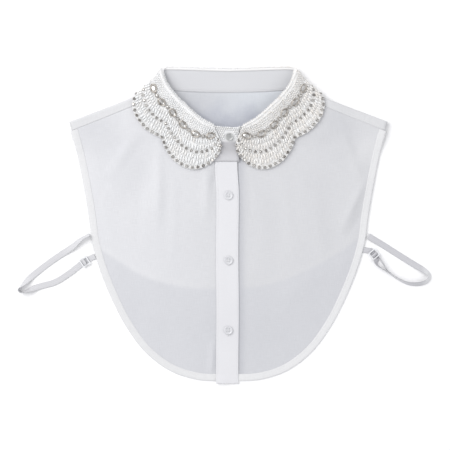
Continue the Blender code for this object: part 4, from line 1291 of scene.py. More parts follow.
# %% Bead, stone and metal finishes
bead_finish = Finish(
    "lustre_bead", Roughness=0.25, Coat_Weight=0.35, Coat_Roughness=0.1,
    Subsurface_Weight=0.5, Subsurface_Radius=(1.0, 1.0, 1.0), Subsurface_Scale=0.0015,
)
bead_tone = attribute(bead_finish, "tone")
bead_cloud = bead_finish.noise(bead_finish.place(), 900.0, 2.0)
bead_mix = bead_tone * 0.8 + (bead_cloud - 0.5) * 0.5
white_to_cream = bead_finish.between(bead_mix, (0.845, 0.855, 0.862), (0.805, 0.765, 0.715))
bead_finish.feed("Base Color", white_to_cream)
bead_finish.feed("Roughness", bead_cloud * 0.18 + 0.18)
bead_finish.relief(bead_cloud, 0.06, 0.4)

# A stone's tone differs from stone to stone, and from point to point on one stone, which paints glints
# on its facets.
stone_finish = Finish("foiled_stone", Roughness=0.07, Metallic=0.8)
stone_tone_and_glint = attribute(stone_finish, "tone")
stone_finish.feed(
    "Base Color", stone_finish.between(stone_tone_and_glint, (0.26, 0.245, 0.235), (0.88, 0.87, 0.85))
)
stone_mark = stone_finish.noise(stone_finish.place(), 500.0, 2.0)
stone_finish.feed("Roughness", stone_mark * 0.10 + 0.05)

silver_finish = Finish("aged_silver", Metallic=0.9)
tarnish = silver_finish.noise(silver_finish.place(), 420.0, 4.0, 0.6)
silver_finish.feed(
    "Base Color",
    silver_finish.between(tarnish.above(0.35, 0.65), (0.29, 0.265, 0.24), (0.66, 0.63, 0.59)),
)
silver_finish.feed("Roughness", tarnish * 0.25 + 0.22)
silver_finish.relief(tarnish, 0.05, 0.5)
print("finishes:", bead_finish.material.name, silver_finish.material.name)

# %% [markdown]
# ## Small shapes
# Each bead is a surface of turning: a profile of radius and height carried round the axis.
# A seed bead is a squat ball, a tube bead a rod with rounded ends, and a stone a low cone
# with a flat table in a thin claw ring. They have a few dozen faces because there are
# hundreds of them.

# %% Small shapes
def turned_shape(profile, sides, along_y=False, hollow=False):
    """Profile rows (radius, height) carried round an axis; a hollow one closes on itself, any
    other profile gets a fan over each end."""
    profile = np.array(profile, float)
    angle = np.linspace(0.0, 2.0 * math.pi, sides, endpoint=False)
    ring = np.stack([np.cos(angle), np.sin(angle)], axis=-1)
    points = np.concatenate([
        profile[:, None, 0:1] * ring[None],
        np.broadcast_to(profile[:, None, 1:2], (len(profile), sides, 1)),
    ], axis=-1)
    if along_y:
        points = points[..., [0, 2, 1]]
    faces = closed_tube_faces(len(profile), sides)
    if hollow:
        faces = grid_faces(len(profile), sides, round_rows=True, round_columns=True)
    if along_y:
        faces = faces[:, ::-1]
    return points.reshape(-1, 3), faces


SEED_PROFILE = [(0.02, -0.8), (0.75, -0.55), (1.0, 0.0), (0.75, 0.55), (0.02, 0.8)]
TUBE_PROFILE = [
    (0.02, -1.0), (0.6, -0.97), (1.0, -0.86), (1.05, 0.0), (1.0, 0.86), (0.6, 0.97), (0.02, 1.0)
]
STONE_PROFILE = [(0.02, -0.3), (0.98, -0.3), (1.0, 0.25), (0.62, 0.75), (0.02, 0.78)]
CLAW_PROFILE = [(0.9, 0.0), (1.2, 0.0), (1.2, 0.34), (1.02, 0.38)]
SEED, SEED_FACES = turned_shape(SEED_PROFILE, 6)
TUBE, TUBE_FACES = turned_shape(TUBE_PROFILE, 8, along_y=True)
STONE, STONE_FACES = turned_shape(STONE_PROFILE, 8)
CLAW, CLAW_FACES = turned_shape(CLAW_PROFILE, 12, hollow=True)
print("faces of a seed, a tube, a stone:", len(SEED_FACES), len(TUBE_FACES), len(STONE_FACES))

# %% [markdown]
# ## Seed beads
# Seed beads cover the fold as an even band, and fill the ground below it. Each row of them
# is a line of constant w, and every second row is stepped by half a pitch, as they are when
# sewn down one by one.

# %% Bands of seed beads
SEED_BANDS = [
    # share of the width at the start, at the end, rows, pitch, bead radius, share left out
    (-0.055, 0.235, 7, 2.35, 1.10, 0.0),
    (0.27, 0.36, 3, 2.0, 0.80, 0.1),
    (0.39, 0.60, 5, 2.3, 0.75, 0.2),
    (0.615, 0.675, 2, 2.2, 0.85, 0.1),
    (0.70, 0.90, 5, 2.3, 0.75, 0.2),
    (0.925, 0.985, 2, 2.2, 0.90, 0.1),
]


def cream_side(t):
    """The right half's beads are a little creamier."""
    return 0.08 + 0.56 * smooth(t, LAST_T * 0.5, LAST_T * 0.62)


def loose(point, out, down, radius):
    """Beads leaned at random, each sunk a little into the cloth."""
    size = np.abs(rng.normal(radius, radius * 0.10, len(point)))[:, None] * [1.0, 1.0, 0.9]
    lean = unit(out + rng.normal(0.0, 0.35, out.shape))
    down = unit(down - lean * (down * lean).sum(-1, keepdims=True))
    return point + out * radius * 0.45, lean, down, size


def seed_band(w_start, w_end, rows, pitch, radius, left_out):
    """Rows of seed beads at even steps in w, each row stepped by half a pitch."""
    lines = [steps_along(w, pitch) for w in np.linspace(w_start, w_end, int(rows))]
    lines = [t + (number % 2) * 0.5 * np.gradient(t) for number, t in enumerate(lines)]
    w = np.repeat(np.linspace(w_start, w_end, int(rows)), [len(t) for t in lines])
    t = np.concatenate(lines)
    chosen = rng.random(len(t)) >= left_out
    t = np.clip(t[chosen] + rng.normal(0.0, 0.03, chosen.sum()), 0.03, LAST_T - 0.03)
    w = w[chosen] + rng.normal(0.0, 0.004, chosen.sum())
    point, out, down = leaf_place(t, w)
    tone = np.clip(cream_side(t) + rng.normal(0.0, 0.22, len(t)), 0.0, 1.0)
    return *loose(point, out, down, radius), tone


print("bands of seed beads:", len(SEED_BANDS))

# %% [markdown]
# ## Beads on the stand
# On the stand's front edge, between the leaf's two halves, the band of the fold goes on.
# Two of its rows pass above the neck button, and the others stop beside it.

# %% Beads on the stand
NECK_BUTTON_X, NECK_BUTTON_Y, BUTTON_CLEAR = 1.2, 99.4, 6.6
STAND_ROWS, STAND_PITCH, STAND_BEAD, STAND_END_ROWS = 7, 2.3, 1.05, 26


def stand_band():
    """Seed beads on the stand's front where the leaf leaves it bare, clear of the button."""
    over, under = stand_points[:STAND_END_ROWS], stand_points[-STAND_END_ROWS:]
    spots, facing = [], []
    for line_set, far in ((over, -17.0), (under[::-1], 11.5)):
        out = normals(line_set)
        out = out * np.sign(out[..., 2:3])
        for row in range(STAND_ROWS):
            column = -1 - row
            line = line_set[:, column]
            start = 1.2 + STAND_PITCH / 2.0 * (row % 2)
            wanted = np.arange(start, lengths(line)[-1], STAND_PITCH)
            spot = resample(line, wanted)
            from_button = np.hypot(spot[:, 0] - NECK_BUTTON_X, spot[:, 1] - NECK_BUTTON_Y)
            near = (spot[:, 0] > far) & (spot[:, 0] < (11.0 if far < 0.0 else 18.0))
            near &= (row < 2) | (from_button > BUTTON_CLEAR)
            near &= (row < 2) | (np.abs(spot[:, 0]) > 5.0)
            spots.append(spot[near])
            parts = [np.interp(wanted, lengths(line), part) for part in out[:, column].T]
            facing.append(np.stack(parts, axis=1)[near])
    point, out = np.concatenate(spots), unit(np.concatenate(facing))
    down = unit(np.array([[0.0, -1.0, -0.3]]))
    down = unit(down - out * (down * out).sum(-1, keepdims=True))
    tone = np.clip(0.2 + rng.normal(0.0, 0.2, len(point)), 0.0, 1.0)
    return *loose(point + out * 0.4, out, down, STAND_BEAD), tone


print("rows of beads on the stand:", STAND_ROWS)

# %% [markdown]
# ## Joining the seed beads
# Thousands of beads as single objects would be slow, so each group is one mesh. Two meshes
# keep each of them light: the fold with the stand, and the ground.

# %% Seed beads
seed_sets = [seed_band(*row) for row in SEED_BANDS]
seed_groups = {"fold": [seed_sets[0], stand_band()], "ground": seed_sets[1:]}
for group, sets in seed_groups.items():
    origin, lean, down, size, tone = [np.concatenate(parts) for parts in zip(*sets)]
    points, faces = scatter(SEED, SEED_FACES, origin, lean, down, size)
    tone = np.repeat(tone, len(SEED))
    make_piece("seed_beads_" + group, points, faces, bead_finish.material, tone=tone)
    print("seed beads,", group, len(origin))

# %% [markdown]
# ## Tube beads
# Two fans of short tubes lie in each scallop, pointing down the leaf so that they radiate,
# and each fan is two rows deep. Rows are set out by even steps along the leaf, and small
# random turns keep them from looking printed.

# %% Tube beads
FANS = [
    # share of the width at the start, at the end, pitch, bead radius
    (0.395, 0.490, 2.9, 0.95),
    (0.500, 0.600, 3.0, 0.95),
    (0.695, 0.795, 3.0, 0.95),
    (0.805, 0.905, 3.1, 0.95),
]


def tube_fan(w_start, w_end, pitch, radius):
    """Tubes at even steps along the middle of two lines of w, as long as the way between."""
    w_middle = (w_start + w_end) / 2.0
    t = steps_along(w_middle, pitch)
    t = t + rng.normal(0.0, 0.03, len(t))
    w = w_middle + rng.normal(0.0, 0.010, len(t))
    start, _, _ = leaf_place(t, np.full_like(t, w_start))
    end, _, _ = leaf_place(t, np.full_like(t, w_end))
    half = np.linalg.norm(end - start, axis=1) / 2.0 * rng.uniform(0.82, 1.05, len(t))
    point, out, down = leaf_place(t, w)
    down = unit(down + np.cross(down, out) * rng.normal(0.0, 0.16, (len(t), 1)))
    width = radius * rng.uniform(0.9, 1.08, len(t))
    size = np.stack([width, half, width], axis=1)
    tone = np.clip(cream_side(t) + 0.08 + rng.normal(0.0, 0.25, len(t)), 0.0, 1.0)
    return point + out * radius * 0.75, out, down, size, tone


fans = [tube_fan(*row) for row in FANS]
origin, lean, down, size, tone = [np.concatenate(parts) for parts in zip(*fans)]
points, faces = scatter(TUBE, TUBE_FACES, origin, lean, down, size)
tubes = make_piece("tube_beads", points, faces, bead_finish.material, tone=np.repeat(tone, len(TUBE)))
print("tube beads:", len(origin))

# %% [markdown]
# ## Stones in claws
# A row of small foiled stones ends each fan: one between the fans and one on the scalloped
# edge. Each sits in a thin claw ring and is tipped a little, so that they catch the light
# one after another.

# %% Stones in claws
STONE_ROWS = [
    # share of the width, pitch, stone radius
    (0.647, 6.0, 1.35),
    (0.960, 6.3, 1.50),
]
t = [steps_along(w, pitch) for w, pitch, _ in STONE_ROWS]
counts = [len(row) for row in t]
t = np.concatenate(t)
w = np.repeat([row[0] for row in STONE_ROWS], counts)
radius = np.repeat([row[2] for row in STONE_ROWS], counts)
point, out, down = leaf_place(t, w)
origin = point + out * 1.0
tilt = unit(out + rng.normal(0.0, 0.14, out.shape))
down = unit(down - tilt * (down * tilt).sum(-1, keepdims=True))
size = radius[:, None] * [1.0, 1.0, 1.0]
points, faces = scatter(STONE, STONE_FACES, origin, tilt, down, size)
# each stone gets its own tone, plus a random tone for each point that paints glints on the facets
tone = np.repeat(rng.normal(0.42, 0.25, len(t)), len(STONE))
tone = np.clip(tone + rng.normal(0.0, 0.25, len(tone)), 0.0, 1.0)
stones = make_piece(
    "edge_stones", points, faces, stone_finish.material, rounded=False,
    tone=tone,
)
points, faces = scatter(CLAW, CLAW_FACES, origin - tilt * 0.15, tilt, down, size)
claws = make_piece("stone_claws", points, faces, silver_finish.material)
print("stones:", len(t))

# %% [markdown]
# ## Chains of framed ovals
# On each half of the leaf a chain lies between the seed band and the fans. It is a plain
# jeweller's chain: framed oval stones and small round ones by turns, evenly spaced on a thin
# wire. The table holds the places, and wire is made as a ring carried along a line.

# %% Chain places and wire
CHAIN = [
    # place along the leaf table, place across the leaf, half width
    (1.30, 0.31, 1.2),
    (2.15, 0.31, 3.6),
    (3.48, 0.31, 1.6),
    (4.55, 0.31, 3.6),
    (5.53, 0.31, 1.6),
    (6.45, 0.31, 3.6),
    (7.41, 0.31, 1.6),
    (8.47, 0.31, 3.6),
    (9.72, 0.31, 1.6),
    (11.06, 0.31, 3.6),
    (12.30, 0.31, 1.6),
    (13.61, 0.31, 3.6),
    (14.40, 0.31, 1.2),
]
WIRE_SIDES = 8


def swept(lines, radius, closed):
    """Round wire carried along lines of points: each ring lies across the line."""
    along = np.roll(lines, -1, axis=1) - np.roll(lines, 1, axis=1)
    if not closed:
        along = np.gradient(lines, axis=1)
    along = unit(along)
    side = unit(np.cross(along, [0.0, 0.0, 1.0]))
    up = np.cross(side, along)
    angle = np.linspace(0.0, 2.0 * math.pi, WIRE_SIDES, endpoint=False)
    ring = np.cos(angle)[:, None] * side[:, :, None] + np.sin(angle)[:, None] * up[:, :, None]
    return lines[:, :, None] + ring * np.asarray(radius)[..., None, None]


def chain_places(wide):
    """Middle, outward, chain and cross directions of the chain's wide or narrow places."""
    table = np.array(CHAIN[1:-1])
    t, w, _ = table[(table[:, 2] > 2.0) == wide].T
    middle, out, _ = leaf_place(t, w)
    ahead, _, _ = leaf_place(t + 0.3, w)
    behind, _, _ = leaf_place(t - 0.3, w)
    along = ahead - behind
    along = unit(along - out * (along * out).sum(-1, keepdims=True))
    return middle + out * 1.55, out, along, np.cross(out, along)


print("places in the chain:", len(CHAIN) - 2)

# %% [markdown]
# ## Frames
# A frame is a rope ring: a round wire carried round an oval, its radius swelling and
# narrowing 18 times as it goes. All frames are worked out in one array.

# %% Frames and core wire
FRAME_LENGTH, FRAME_WIDTH, FRAME_WIRE, CORE_WIRE = 4.9, 3.4, 0.55, 0.40
ROPE_TURNS, RING_STEPS, CORE_STEPS = 18.0, 72, 160


def chain_metal():
    """Rope frames round the ovals, and the core wire through all places of the chain."""
    centre, _, along, across = chain_places(True)
    a = np.linspace(0.0, 2.0 * math.pi, RING_STEPS, endpoint=False)
    oval = FRAME_LENGTH * np.cos(a)[None, :, None] * along[:, None]
    oval = oval + FRAME_WIDTH * np.sin(a)[None, :, None] * across[:, None]
    rope = FRAME_WIRE * (1.0 + 0.16 * np.cos(ROPE_TURNS * a))
    rope = np.broadcast_to(rope, (len(centre), RING_STEPS))
    frames = swept(centre[:, None] + oval, rope, True)
    one = grid_faces(RING_STEPS, WIRE_SIDES, round_rows=True, round_columns=True)[:, ::-1]
    shift = (np.arange(len(centre)) * RING_STEPS * WIRE_SIDES)[:, None, None]
    frame_faces = (one[None] + shift).reshape(-1, 4)
    core = by_row(CHAIN, np.linspace(0.0, len(CHAIN) - 1.0, CORE_STEPS))
    place, out, _ = leaf_place(core[:, 0], core[:, 1])
    stops = [0, 3, CORE_STEPS - 4, CORE_STEPS - 1]
    taper = CORE_WIRE * np.interp(np.arange(CORE_STEPS), stops, [0.03, 1.0, 1.0, 0.03])
    wire = swept((place + out * 1.2)[None], taper[None], False)
    wire_faces = closed_tube_faces(CORE_STEPS, WIRE_SIDES)[:, ::-1] + frames.size // 3
    points = np.concatenate([frames.reshape(-1, 3), wire.reshape(-1, 3)])
    return points, np.concatenate([frame_faces, wire_faces])


print("steps round a frame:", RING_STEPS)

# %% [markdown]
# ## The chain on both halves
# Both halves carry the same chain, the second as a mirror copy, so one array of metal is
# made and flipped. Flipping turns each face inside out, so its corners are taken in the
# other order. Stones are set in the frames, large ones in the ovals and small ones between.

# %% Chains on both halves
metal_points, metal_faces = chain_metal()
ovals, rounds = chain_places(True), chain_places(False)
centre = np.concatenate([ovals[0], rounds[0]])
out = np.concatenate([ovals[1], rounds[1]])
along = np.concatenate([ovals[2], rounds[2]])
OVAL_STONE, ROUND_STONE = [2.4, 3.8, 1.8], [1.7, 1.7, 1.6]
size = np.array([OVAL_STONE] * len(ovals[0]) + [ROUND_STONE] * len(rounds[0]))
# a random tone for each point of the chain's stones paints glints on their facets
tone = np.clip(rng.normal(0.68, 0.32, len(centre) * len(STONE)), 0.0, 1.0)
for side_name, mirror in (("right", False), ("left", True)):
    flip = mirrored if mirror else np.array
    turn_faces = metal_faces[:, ::-1] if mirror else metal_faces
    chain = make_piece(
        "oval_chain_" + side_name, flip(metal_points), turn_faces, silver_finish.material
    )
    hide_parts("chain_" + side_name)
    spot, facing, way = flip(centre), flip(out), flip(along)
    points, faces = scatter(STONE, STONE_FACES, spot - facing * 0.25, facing, way, size)
    gems = make_piece(
        "chain_stones_" + side_name, points, faces, stone_finish.material, rounded=False,
        tone=tone,
    )
    points, faces = scatter(CLAW, CLAW_FACES, spot - facing * 0.35, facing, way, size * 1.04)
    settings = make_piece("chain_claws_" + side_name, points, faces, silver_finish.material)
print("framed ovals on each half:", len(ovals[0]))

# %% [markdown]
# ## Elastic straps
# Flat elastic is a ribbon: a middle line with a direction for its width. The table gives the
# line and how far the width is turned from flat, because the strap stands on edge where it
# bends back. At the right the strap's end comes back out of the slider and is sewn to the
# strap, so a short second ribbon stands there on edge.

# %% Strap tables
STRAP_LEFT = [
    # x, y, z, turn in degrees
    (-155.4, -9.6, 3.7, 64.0),
    (-160.5, -12.2, 3.7, 62.0),
    (-166.3, -15.8, 3.2, 50.0),
    (-175.3, -23.6, 1.8, 22.0),
    (-186.5, -31.2, 0.7, 3.0),
    (-197.7, -38.8, 0.6, 0.0),
    (-212.4, -49.8, 0.6, 0.0),
    (-222.0, -57.6, 1.1, 10.0),
    (-229.6, -65.0, 2.9, 50.0),
    (-234.2, -69.0, 3.5, 84.0),
    (-235.2, -72.2, 3.5, 90.0),
    (-232.2, -74.4, 3.5, 96.0),
    (-225.6, -72.8, 3.2, 120.0),
    (-217.2, -69.6, 1.4, 166.0),
    (-208.9, -67.2, 0.6, 180.0),
    (-194.0, -62.8, 0.6, 180.0),
    (-178.4, -53.0, 0.6, 180.0),
    (-168.6, -45.4, 0.6, 180.0),
]
STRAP_RIGHT = [
    # x, y, z, turn in degrees
    (155.8, -10.8, 1.9, 0.0),
    (164.6, -16.2, 1.4, 0.0),
    (174.2, -21.8, 0.7, 0.0),
    (186.5, -29.6, 0.6, 0.0),
    (199.4, -37.8, 0.6, 0.0),
    (211.0, -44.8, 0.9, -8.0),
    (218.8, -49.4, 1.9, -26.0),
    (224.0, -53.6, 2.6, -42.0),
    (225.2, -57.8, 2.7, -46.0),
    (222.2, -62.2, 2.7, -44.0),
    (216.0, -64.6, 2.7, -45.0),
    (207.8, -65.2, 2.8, -52.0),
    (199.0, -63.6, 3.2, -64.0),
    (189.6, -59.0, 3.4, -76.0),
    (181.0, -53.4, 3.4, -85.0),
    (174.6, -49.4, 3.4, -92.0),
    (169.2, -46.0, 3.4, -100.0),
    (165.6, -42.2, 3.1, -118.0),
    (165.2, -38.8, 1.8, -152.0),
    (165.8, -36.6, 0.9, -178.0),
]
RETURN_RIGHT = [
    # x, y, z, turn in degrees
    (168.0, -33.4, 3.2, -90.0),
    (170.9, -38.4, 3.2, -90.0),
    (174.4, -44.0, 3.3, -90.0),
    (177.8, -49.6, 3.4, -88.0),
    (182.4, -53.0, 3.4, -85.0),
]
SLIDERS = {
    # centre x, centre y, direction in degrees, the tab's end x, end y, end z
    "left": (-161.2, -40.0, 32.0, -149.6, -34.0, 0.7),
    "right": (163.2, -31.6, 131.0, 149.6, -26.6, 0.7),
}
print("rows of the strap tables:", len(STRAP_LEFT), len(STRAP_RIGHT), len(RETURN_RIGHT))

# %% [markdown]
# ## Ribbed elastic
# Woven elastic has fine ribs along it and picks across it. Both are sine waves in the
# ribbon's own millimetres. The right strap is in a little more shade than the left one,
# and paler at its outer bend, which faces the light.

# %% Elastic
RIBS_PER_MM, PICKS_PER_MM = 1.3, 1.1
elastic = Finish("ribbed_elastic", Roughness=0.55, Sheen_Weight=0.3)
elastic_cut = elastic.cut()
rib = elastic.sine(elastic.part(elastic_cut, 1) * (2.0 * math.pi * RIBS_PER_MM))
pick = elastic.sine(elastic.part(elastic_cut, 0) * (2.0 * math.pi * PICKS_PER_MM))
fuzz = elastic.noise(elastic.stretched(elastic_cut, 1.2, 1.2), 1.0, 3.0)
ribbed = rib * 0.5 + fuzz * 0.5
on_left = elastic.between(ribbed, (0.570, 0.572, 0.595), (0.650, 0.650, 0.668))
on_right = elastic.between(ribbed, (0.520, 0.520, 0.548), (0.605, 0.605, 0.630))
at_bend = elastic.between(ribbed, (0.660, 0.664, 0.680), (0.740, 0.744, 0.755))
from_left = elastic.part(elastic.place(), 0)
on_right = elastic.between(from_left.above(0.2185, 0.2265), on_right, at_bend)
elastic.feed("Base Color", elastic.between(from_left.above(-0.1, 0.1), on_left, on_right))
elastic.relief(rib + pick * 0.5 + fuzz * 0.4, 0.14, 0.8)
print("ribs across a strap:", round(RIBS_PER_MM * 7))

# %% [markdown]
# ## Ribbons
# The section is a flat shape with rounded edges. At each place it is set square to the
# line, turned by the table's angle, and lifted if it would reach into the table top. Both
# ends are drawn in to a small closed face.

# %% Ribbons
STRAP_WIDTH, STRAP_CLOTH, TAB_WIDTH, RETURN_WIDTH = 6.8, 0.7, 6.2, 5.8
RIBBON_SECTION = np.array([
    # across as a share of the half width, up as a share of the half thickness
    (-1.0, 0.0), (-0.97, 0.75), (-0.88, 1.0), (-0.4, 1.0), (0.4, 1.0), (0.88, 1.0), (0.97, 0.75),
    (1.0, 0.0), (0.97, -0.75), (0.88, -1.0), (0.4, -1.0), (-0.4, -1.0), (-0.88, -1.0), (-0.97, -0.75),
])


def ribbon(name, rows, width, samples):
    """Section carried along the line; its width is the flat side vector turned by the angle."""
    line = by_row(rows, np.linspace(0.0, len(rows) - 1.0, samples))
    centre, turn = line[:, :3].copy(), np.radians(line[:, 3])[:, None]
    along = unit(np.gradient(centre, axis=0))
    flat_side = unit(np.cross([0.0, 0.0, 1.0], along))
    up = np.cross(along, flat_side)
    side = flat_side * np.cos(turn) + up * np.sin(turn)
    normal = np.cross(along, side)
    reach = width / 2.0 * np.abs(side[:, 2]) + 0.5 * np.abs(normal[:, 2])
    centre[:, 2] = np.maximum(centre[:, 2], reach)
    across = RIBBON_SECTION[None, :, 0:1] * width / 2.0 * side[:, None]
    rise = RIBBON_SECTION[None, :, 1:2] * STRAP_CLOTH / 2.0 * normal[:, None]
    grid = centre[:, None] + across + rise
    shrink = np.ones(samples)
    shrink[0] = shrink[-1] = 0.02
    grid = centre[:, None] + (grid - centre[:, None]) * shrink[:, None, None]
    grid[0] += (grid[1].mean(0) - grid[0].mean(0)) * 0.98
    grid[-1] += (grid[-2].mean(0) - grid[-1].mean(0)) * 0.98
    distance = lengths(centre)
    corners = np.arange(len(RIBBON_SECTION))
    around = np.interp(corners, [0, 7, 13], [0.0, width, 0.6])
    uv = np.stack(np.meshgrid(around, distance), axis=-1)[..., ::-1]
    faces = closed_tube_faces(samples, len(RIBBON_SECTION))[:, ::-1]
    piece = make_piece(name, grid, faces, elastic.material, uv)
    return piece


print("corners of the ribbon's section:", len(RIBBON_SECTION))

# %% [markdown]
# ## Straps and tabs
# Each strap ends by climbing over its slider's middle bar, and a short tab comes from the
# band to the slider's other side.

# %% Straps and tabs
# place along the slider's direction, height
OVER_THE_BAR = [(-4.6, 0.6), (-3.5, 0.8), (-2.2, 2.5), (-0.85, 4.0), (1.0, 4.05)]
for side_name, rows in (("left", STRAP_LEFT), ("right", STRAP_RIGHT)):
    x, y, degrees, end_x, end_y, end_z = SLIDERS[side_name]
    along = np.array([math.cos(math.radians(degrees)), math.sin(math.radians(degrees))])
    tail = []
    for reach, height in OVER_THE_BAR:
        spot = np.array([x, y]) + along * reach
        tail.append((spot[0], spot[1], height, rows[-1][3]))
    strap = ribbon("elastic_" + side_name, rows + tail, STRAP_WIDTH, 260)
    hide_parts("strap_" + side_name)
    near, far = np.array([x, y]) + along * 0.4, np.array([x, y]) + along * 4.7
    middle = (far + [end_x, end_y]) / 2.0
    tab_rows = [(*near, 0.6, 0.0), (*far, 0.6, 0.0), (*middle, 0.6, 0.0), (end_x, end_y, end_z, 0.0)]
    tab = ribbon("elastic_tab_" + side_name, tab_rows, TAB_WIDTH, 50)
    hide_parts("strap_tab_" + side_name)
ribbon("elastic_return_right", RETURN_RIGHT, RETURN_WIDTH, 90)

# %% [markdown]
# ## Buttons
# The placket's buttons are turned plastic with a rim and four sewing holes, milky with a
# faint cloud like pearl. The neck button is a smooth grey one, painted darker still for the
# shade that it lies in.

# %% Button finishes
pearl = Finish("pearl_plastic", Roughness=0.35, Coat_Weight=0.2, Coat_Roughness=0.15)
pearl_cloud = pearl.noise(pearl.stretched(pearl.place(), 220.0, 120.0, 220.0), 1.0, 4.0, 0.6)
pearl_color = pearl.between(pearl_cloud.above(0.3, 0.7), (0.62, 0.625, 0.65), (0.69, 0.695, 0.715))
pearl.feed("Base Color", pearl_color)
pearl.feed("Roughness", pearl_cloud * 0.15 + 0.28)
# neck button: grey pearl with painted shade, darker for the shade between the leaf's ends
shaded_grey_pearl = Finish("shaded_grey_pearl", Roughness=0.25, Coat_Weight=0.3, Coat_Roughness=0.12)
grey_cloud = shaded_grey_pearl.noise(shaded_grey_pearl.place(), 260.0, 4.0, 0.6)
clouded = grey_cloud.above(0.3, 0.7)
grey_color = shaded_grey_pearl.between(clouded, (0.31, 0.316, 0.316), (0.55, 0.556, 0.55))
shaded_grey_pearl.feed("Base Color", grey_color)
shaded_grey_pearl.feed("Roughness", grey_cloud * 0.12 + 0.22)
print("finishes:", pearl.material.name, shaded_grey_pearl.material.name)

# %% [markdown]
# ## Turned buttons
# A disc of rings and spokes takes the turned profile, and each hole is a dent: the height
# drops wherever a point is within the hole's radius of its centre. The rings are close
# together there, so the dent's wall comes out steep.

# %% Buttons
BUTTON_SECTION = [
    # radius share, height
    (0.004, 0.0), (0.60, 0.0), (0.80, 0.05), (0.94, 0.3), (1.0, 0.7), (1.0, 1.0), (0.96, 1.35),
    (0.88, 1.5), (0.80, 1.48), (0.72, 1.25), (0.65, 1.1), (0.52, 1.05), (0.44, 1.05), (0.40, 1.05),
    (0.36, 1.05), (0.32, 1.05), (0.28, 1.05), (0.24, 1.05), (0.20, 1.05), (0.14, 1.05), (0.004, 1.05),
]
HOLE_RADIUS, HOLE_OFFSET, HOLE_DEPTH = 0.75, 1.25, 0.7
BUTTON_TOP, BUTTON_SPOKES = 1.05, 64


def placket_top(x, y):
    """Highest point of the placket within 5 mm of a place."""
    grid = placket_grid()
    near = np.hypot(grid[..., 0] - x, grid[..., 1] - y) < 5.0
    return float(grid[..., 2][near].max())


def button(name, node, finish, holes):
    """Turned profile with dents, at the middle of its CAD node; sewn flat or tilted as it is."""
    low, high = [np.array(corner) / MM - GARMENT_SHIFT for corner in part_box(node)]
    centre = (low + high) / 2.0
    radius = (high[0] - low[0]) / 2.0
    profile = np.array(BUTTON_SECTION)
    angle = np.linspace(0.0, 2.0 * math.pi, BUTTON_SPOKES, endpoint=False)
    x = radius * profile[:, None, 0] * np.cos(angle)
    y = radius * profile[:, None, 0] * np.sin(angle)
    z = np.broadcast_to(profile[:, None, 1], x.shape).copy()
    if holes:
        away = np.hypot(np.abs(x) - HOLE_OFFSET, np.abs(y) - HOLE_OFFSET)
        dent = 1.0 - smooth(away, HOLE_RADIUS * 0.7, HOLE_RADIUS * 1.1)
        z -= HOLE_DEPTH * (z > 1.02) * dent
        centre[2] = placket_top(*centre[:2]) + 1.0
    tilt = 0.0
    rise = high[2] - low[2]
    if rise > 2.6:
        tilt = math.asin(min((rise - 2.1) / (2.0 * radius), 0.9))
    grid = np.stack([x, y, z - BUTTON_TOP], axis=-1)
    c, s = math.cos(tilt), math.sin(tilt)
    tilted_y = grid[..., 1] * c - grid[..., 2] * s
    tilted_z = grid[..., 1] * s + grid[..., 2] * c
    turned = np.stack([grid[..., 0], tilted_y, tilted_z], axis=-1)
    faces = closed_tube_faces(*turned.shape[:2])
    piece = make_piece(name, turned + centre, faces, finish.material)
    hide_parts(node)
    return centre


button_centres = []
for number in (1, 2, 3):
    button_centres.append(button(f"placket_button_{number}", f"button_{number}", pearl, True))
button("neck_button", "button_neck", shaded_grey_pearl, False)

# %% [markdown]
# ## Stitches
# Machine stitching shows as a row of short raised dashes. One capsule is copied along every
# seam at 2.6 mm a stitch, lying on the cloth's upper face and pressed half into it.

# %% Stitches
STITCH_PITCH, STITCH_RADIUS = 2.6, 0.16
stitch_sets = []


def stitch_row(line):
    """Capsules along a line of points, each turned to the line."""
    along = lengths(line)
    count = int(along[-1] / STITCH_PITCH)
    wanted = (np.arange(count) + 0.5) * STITCH_PITCH
    middle = resample(line, wanted)
    ahead = resample(line, wanted + 0.3) - resample(line, wanted - 0.3)
    down = unit(ahead)
    out = unit(np.cross(np.cross(down, [0.0, 0.0, 1.0]), down))
    size = np.tile([[STITCH_RADIUS, STITCH_PITCH * 0.36, STITCH_RADIUS]], (count, 1))
    stitch_sets.append((middle, out, down, size))


for sign, band_end in ((-1.0, 16.0), (1.0, 15.0)):
    edge = evenly(OUTLINE, EDGE_STEPS, SEAM_ON_OUTLINE, 1.0)[:, :2]
    toward = inward(edge)
    kept = edge[:, 0] > band_end
    line = (edge + toward * 6.0)[kept] * [sign, 1.0]
    stitch_row(on_front(line, 0.50))
    seam = shoulder_lines(60)[1] * [sign, 1.0] + [0.0, 1.6]
    stitch_row(on_front(seam, 0.22))
middle_x, half_width = (PLACKET_RIGHT + PLACKET_LEFT) / 2.0, (PLACKET_RIGHT - PLACKET_LEFT) / 2.0
for column in (-1.0, 1.0):
    offset = column * (half_width - STITCH_INSET)
    surface = placket_grid()[:, : PLACKET_COLUMNS // 2]
    nearest = np.abs(surface[:, :, 0] - middle_x - offset).argmin(axis=1)
    line = surface[np.arange(len(surface)), nearest]
    x_exact = middle_x + offset + placket_drift(line[:, 1])
    line = np.column_stack([x_exact, line[:, 1], line[:, 2] + 0.05])
    stitch_row(line[6:-3])
stitch_row(on_back(hem_edge - inward(hem_edge) * 4.6, 1.02)[4:-4])
stitch_row(stand_points[16:-16, 2] + [0.0, 0.0, 0.45])
origin, out, down, size = [np.concatenate(parts) for parts in zip(*stitch_sets)]
points, faces = scatter(TUBE, TUBE_FACES, origin, out, down, size)
stitches = make_piece("stitches", points, faces, thread.material)
print("stitches:", len(origin))

# %% [markdown]
# ## Buttonholes and button threads
# A buttonhole is a slit with close bars of thread down both sides. The same thread holds
# each button with a cross over its four holes.

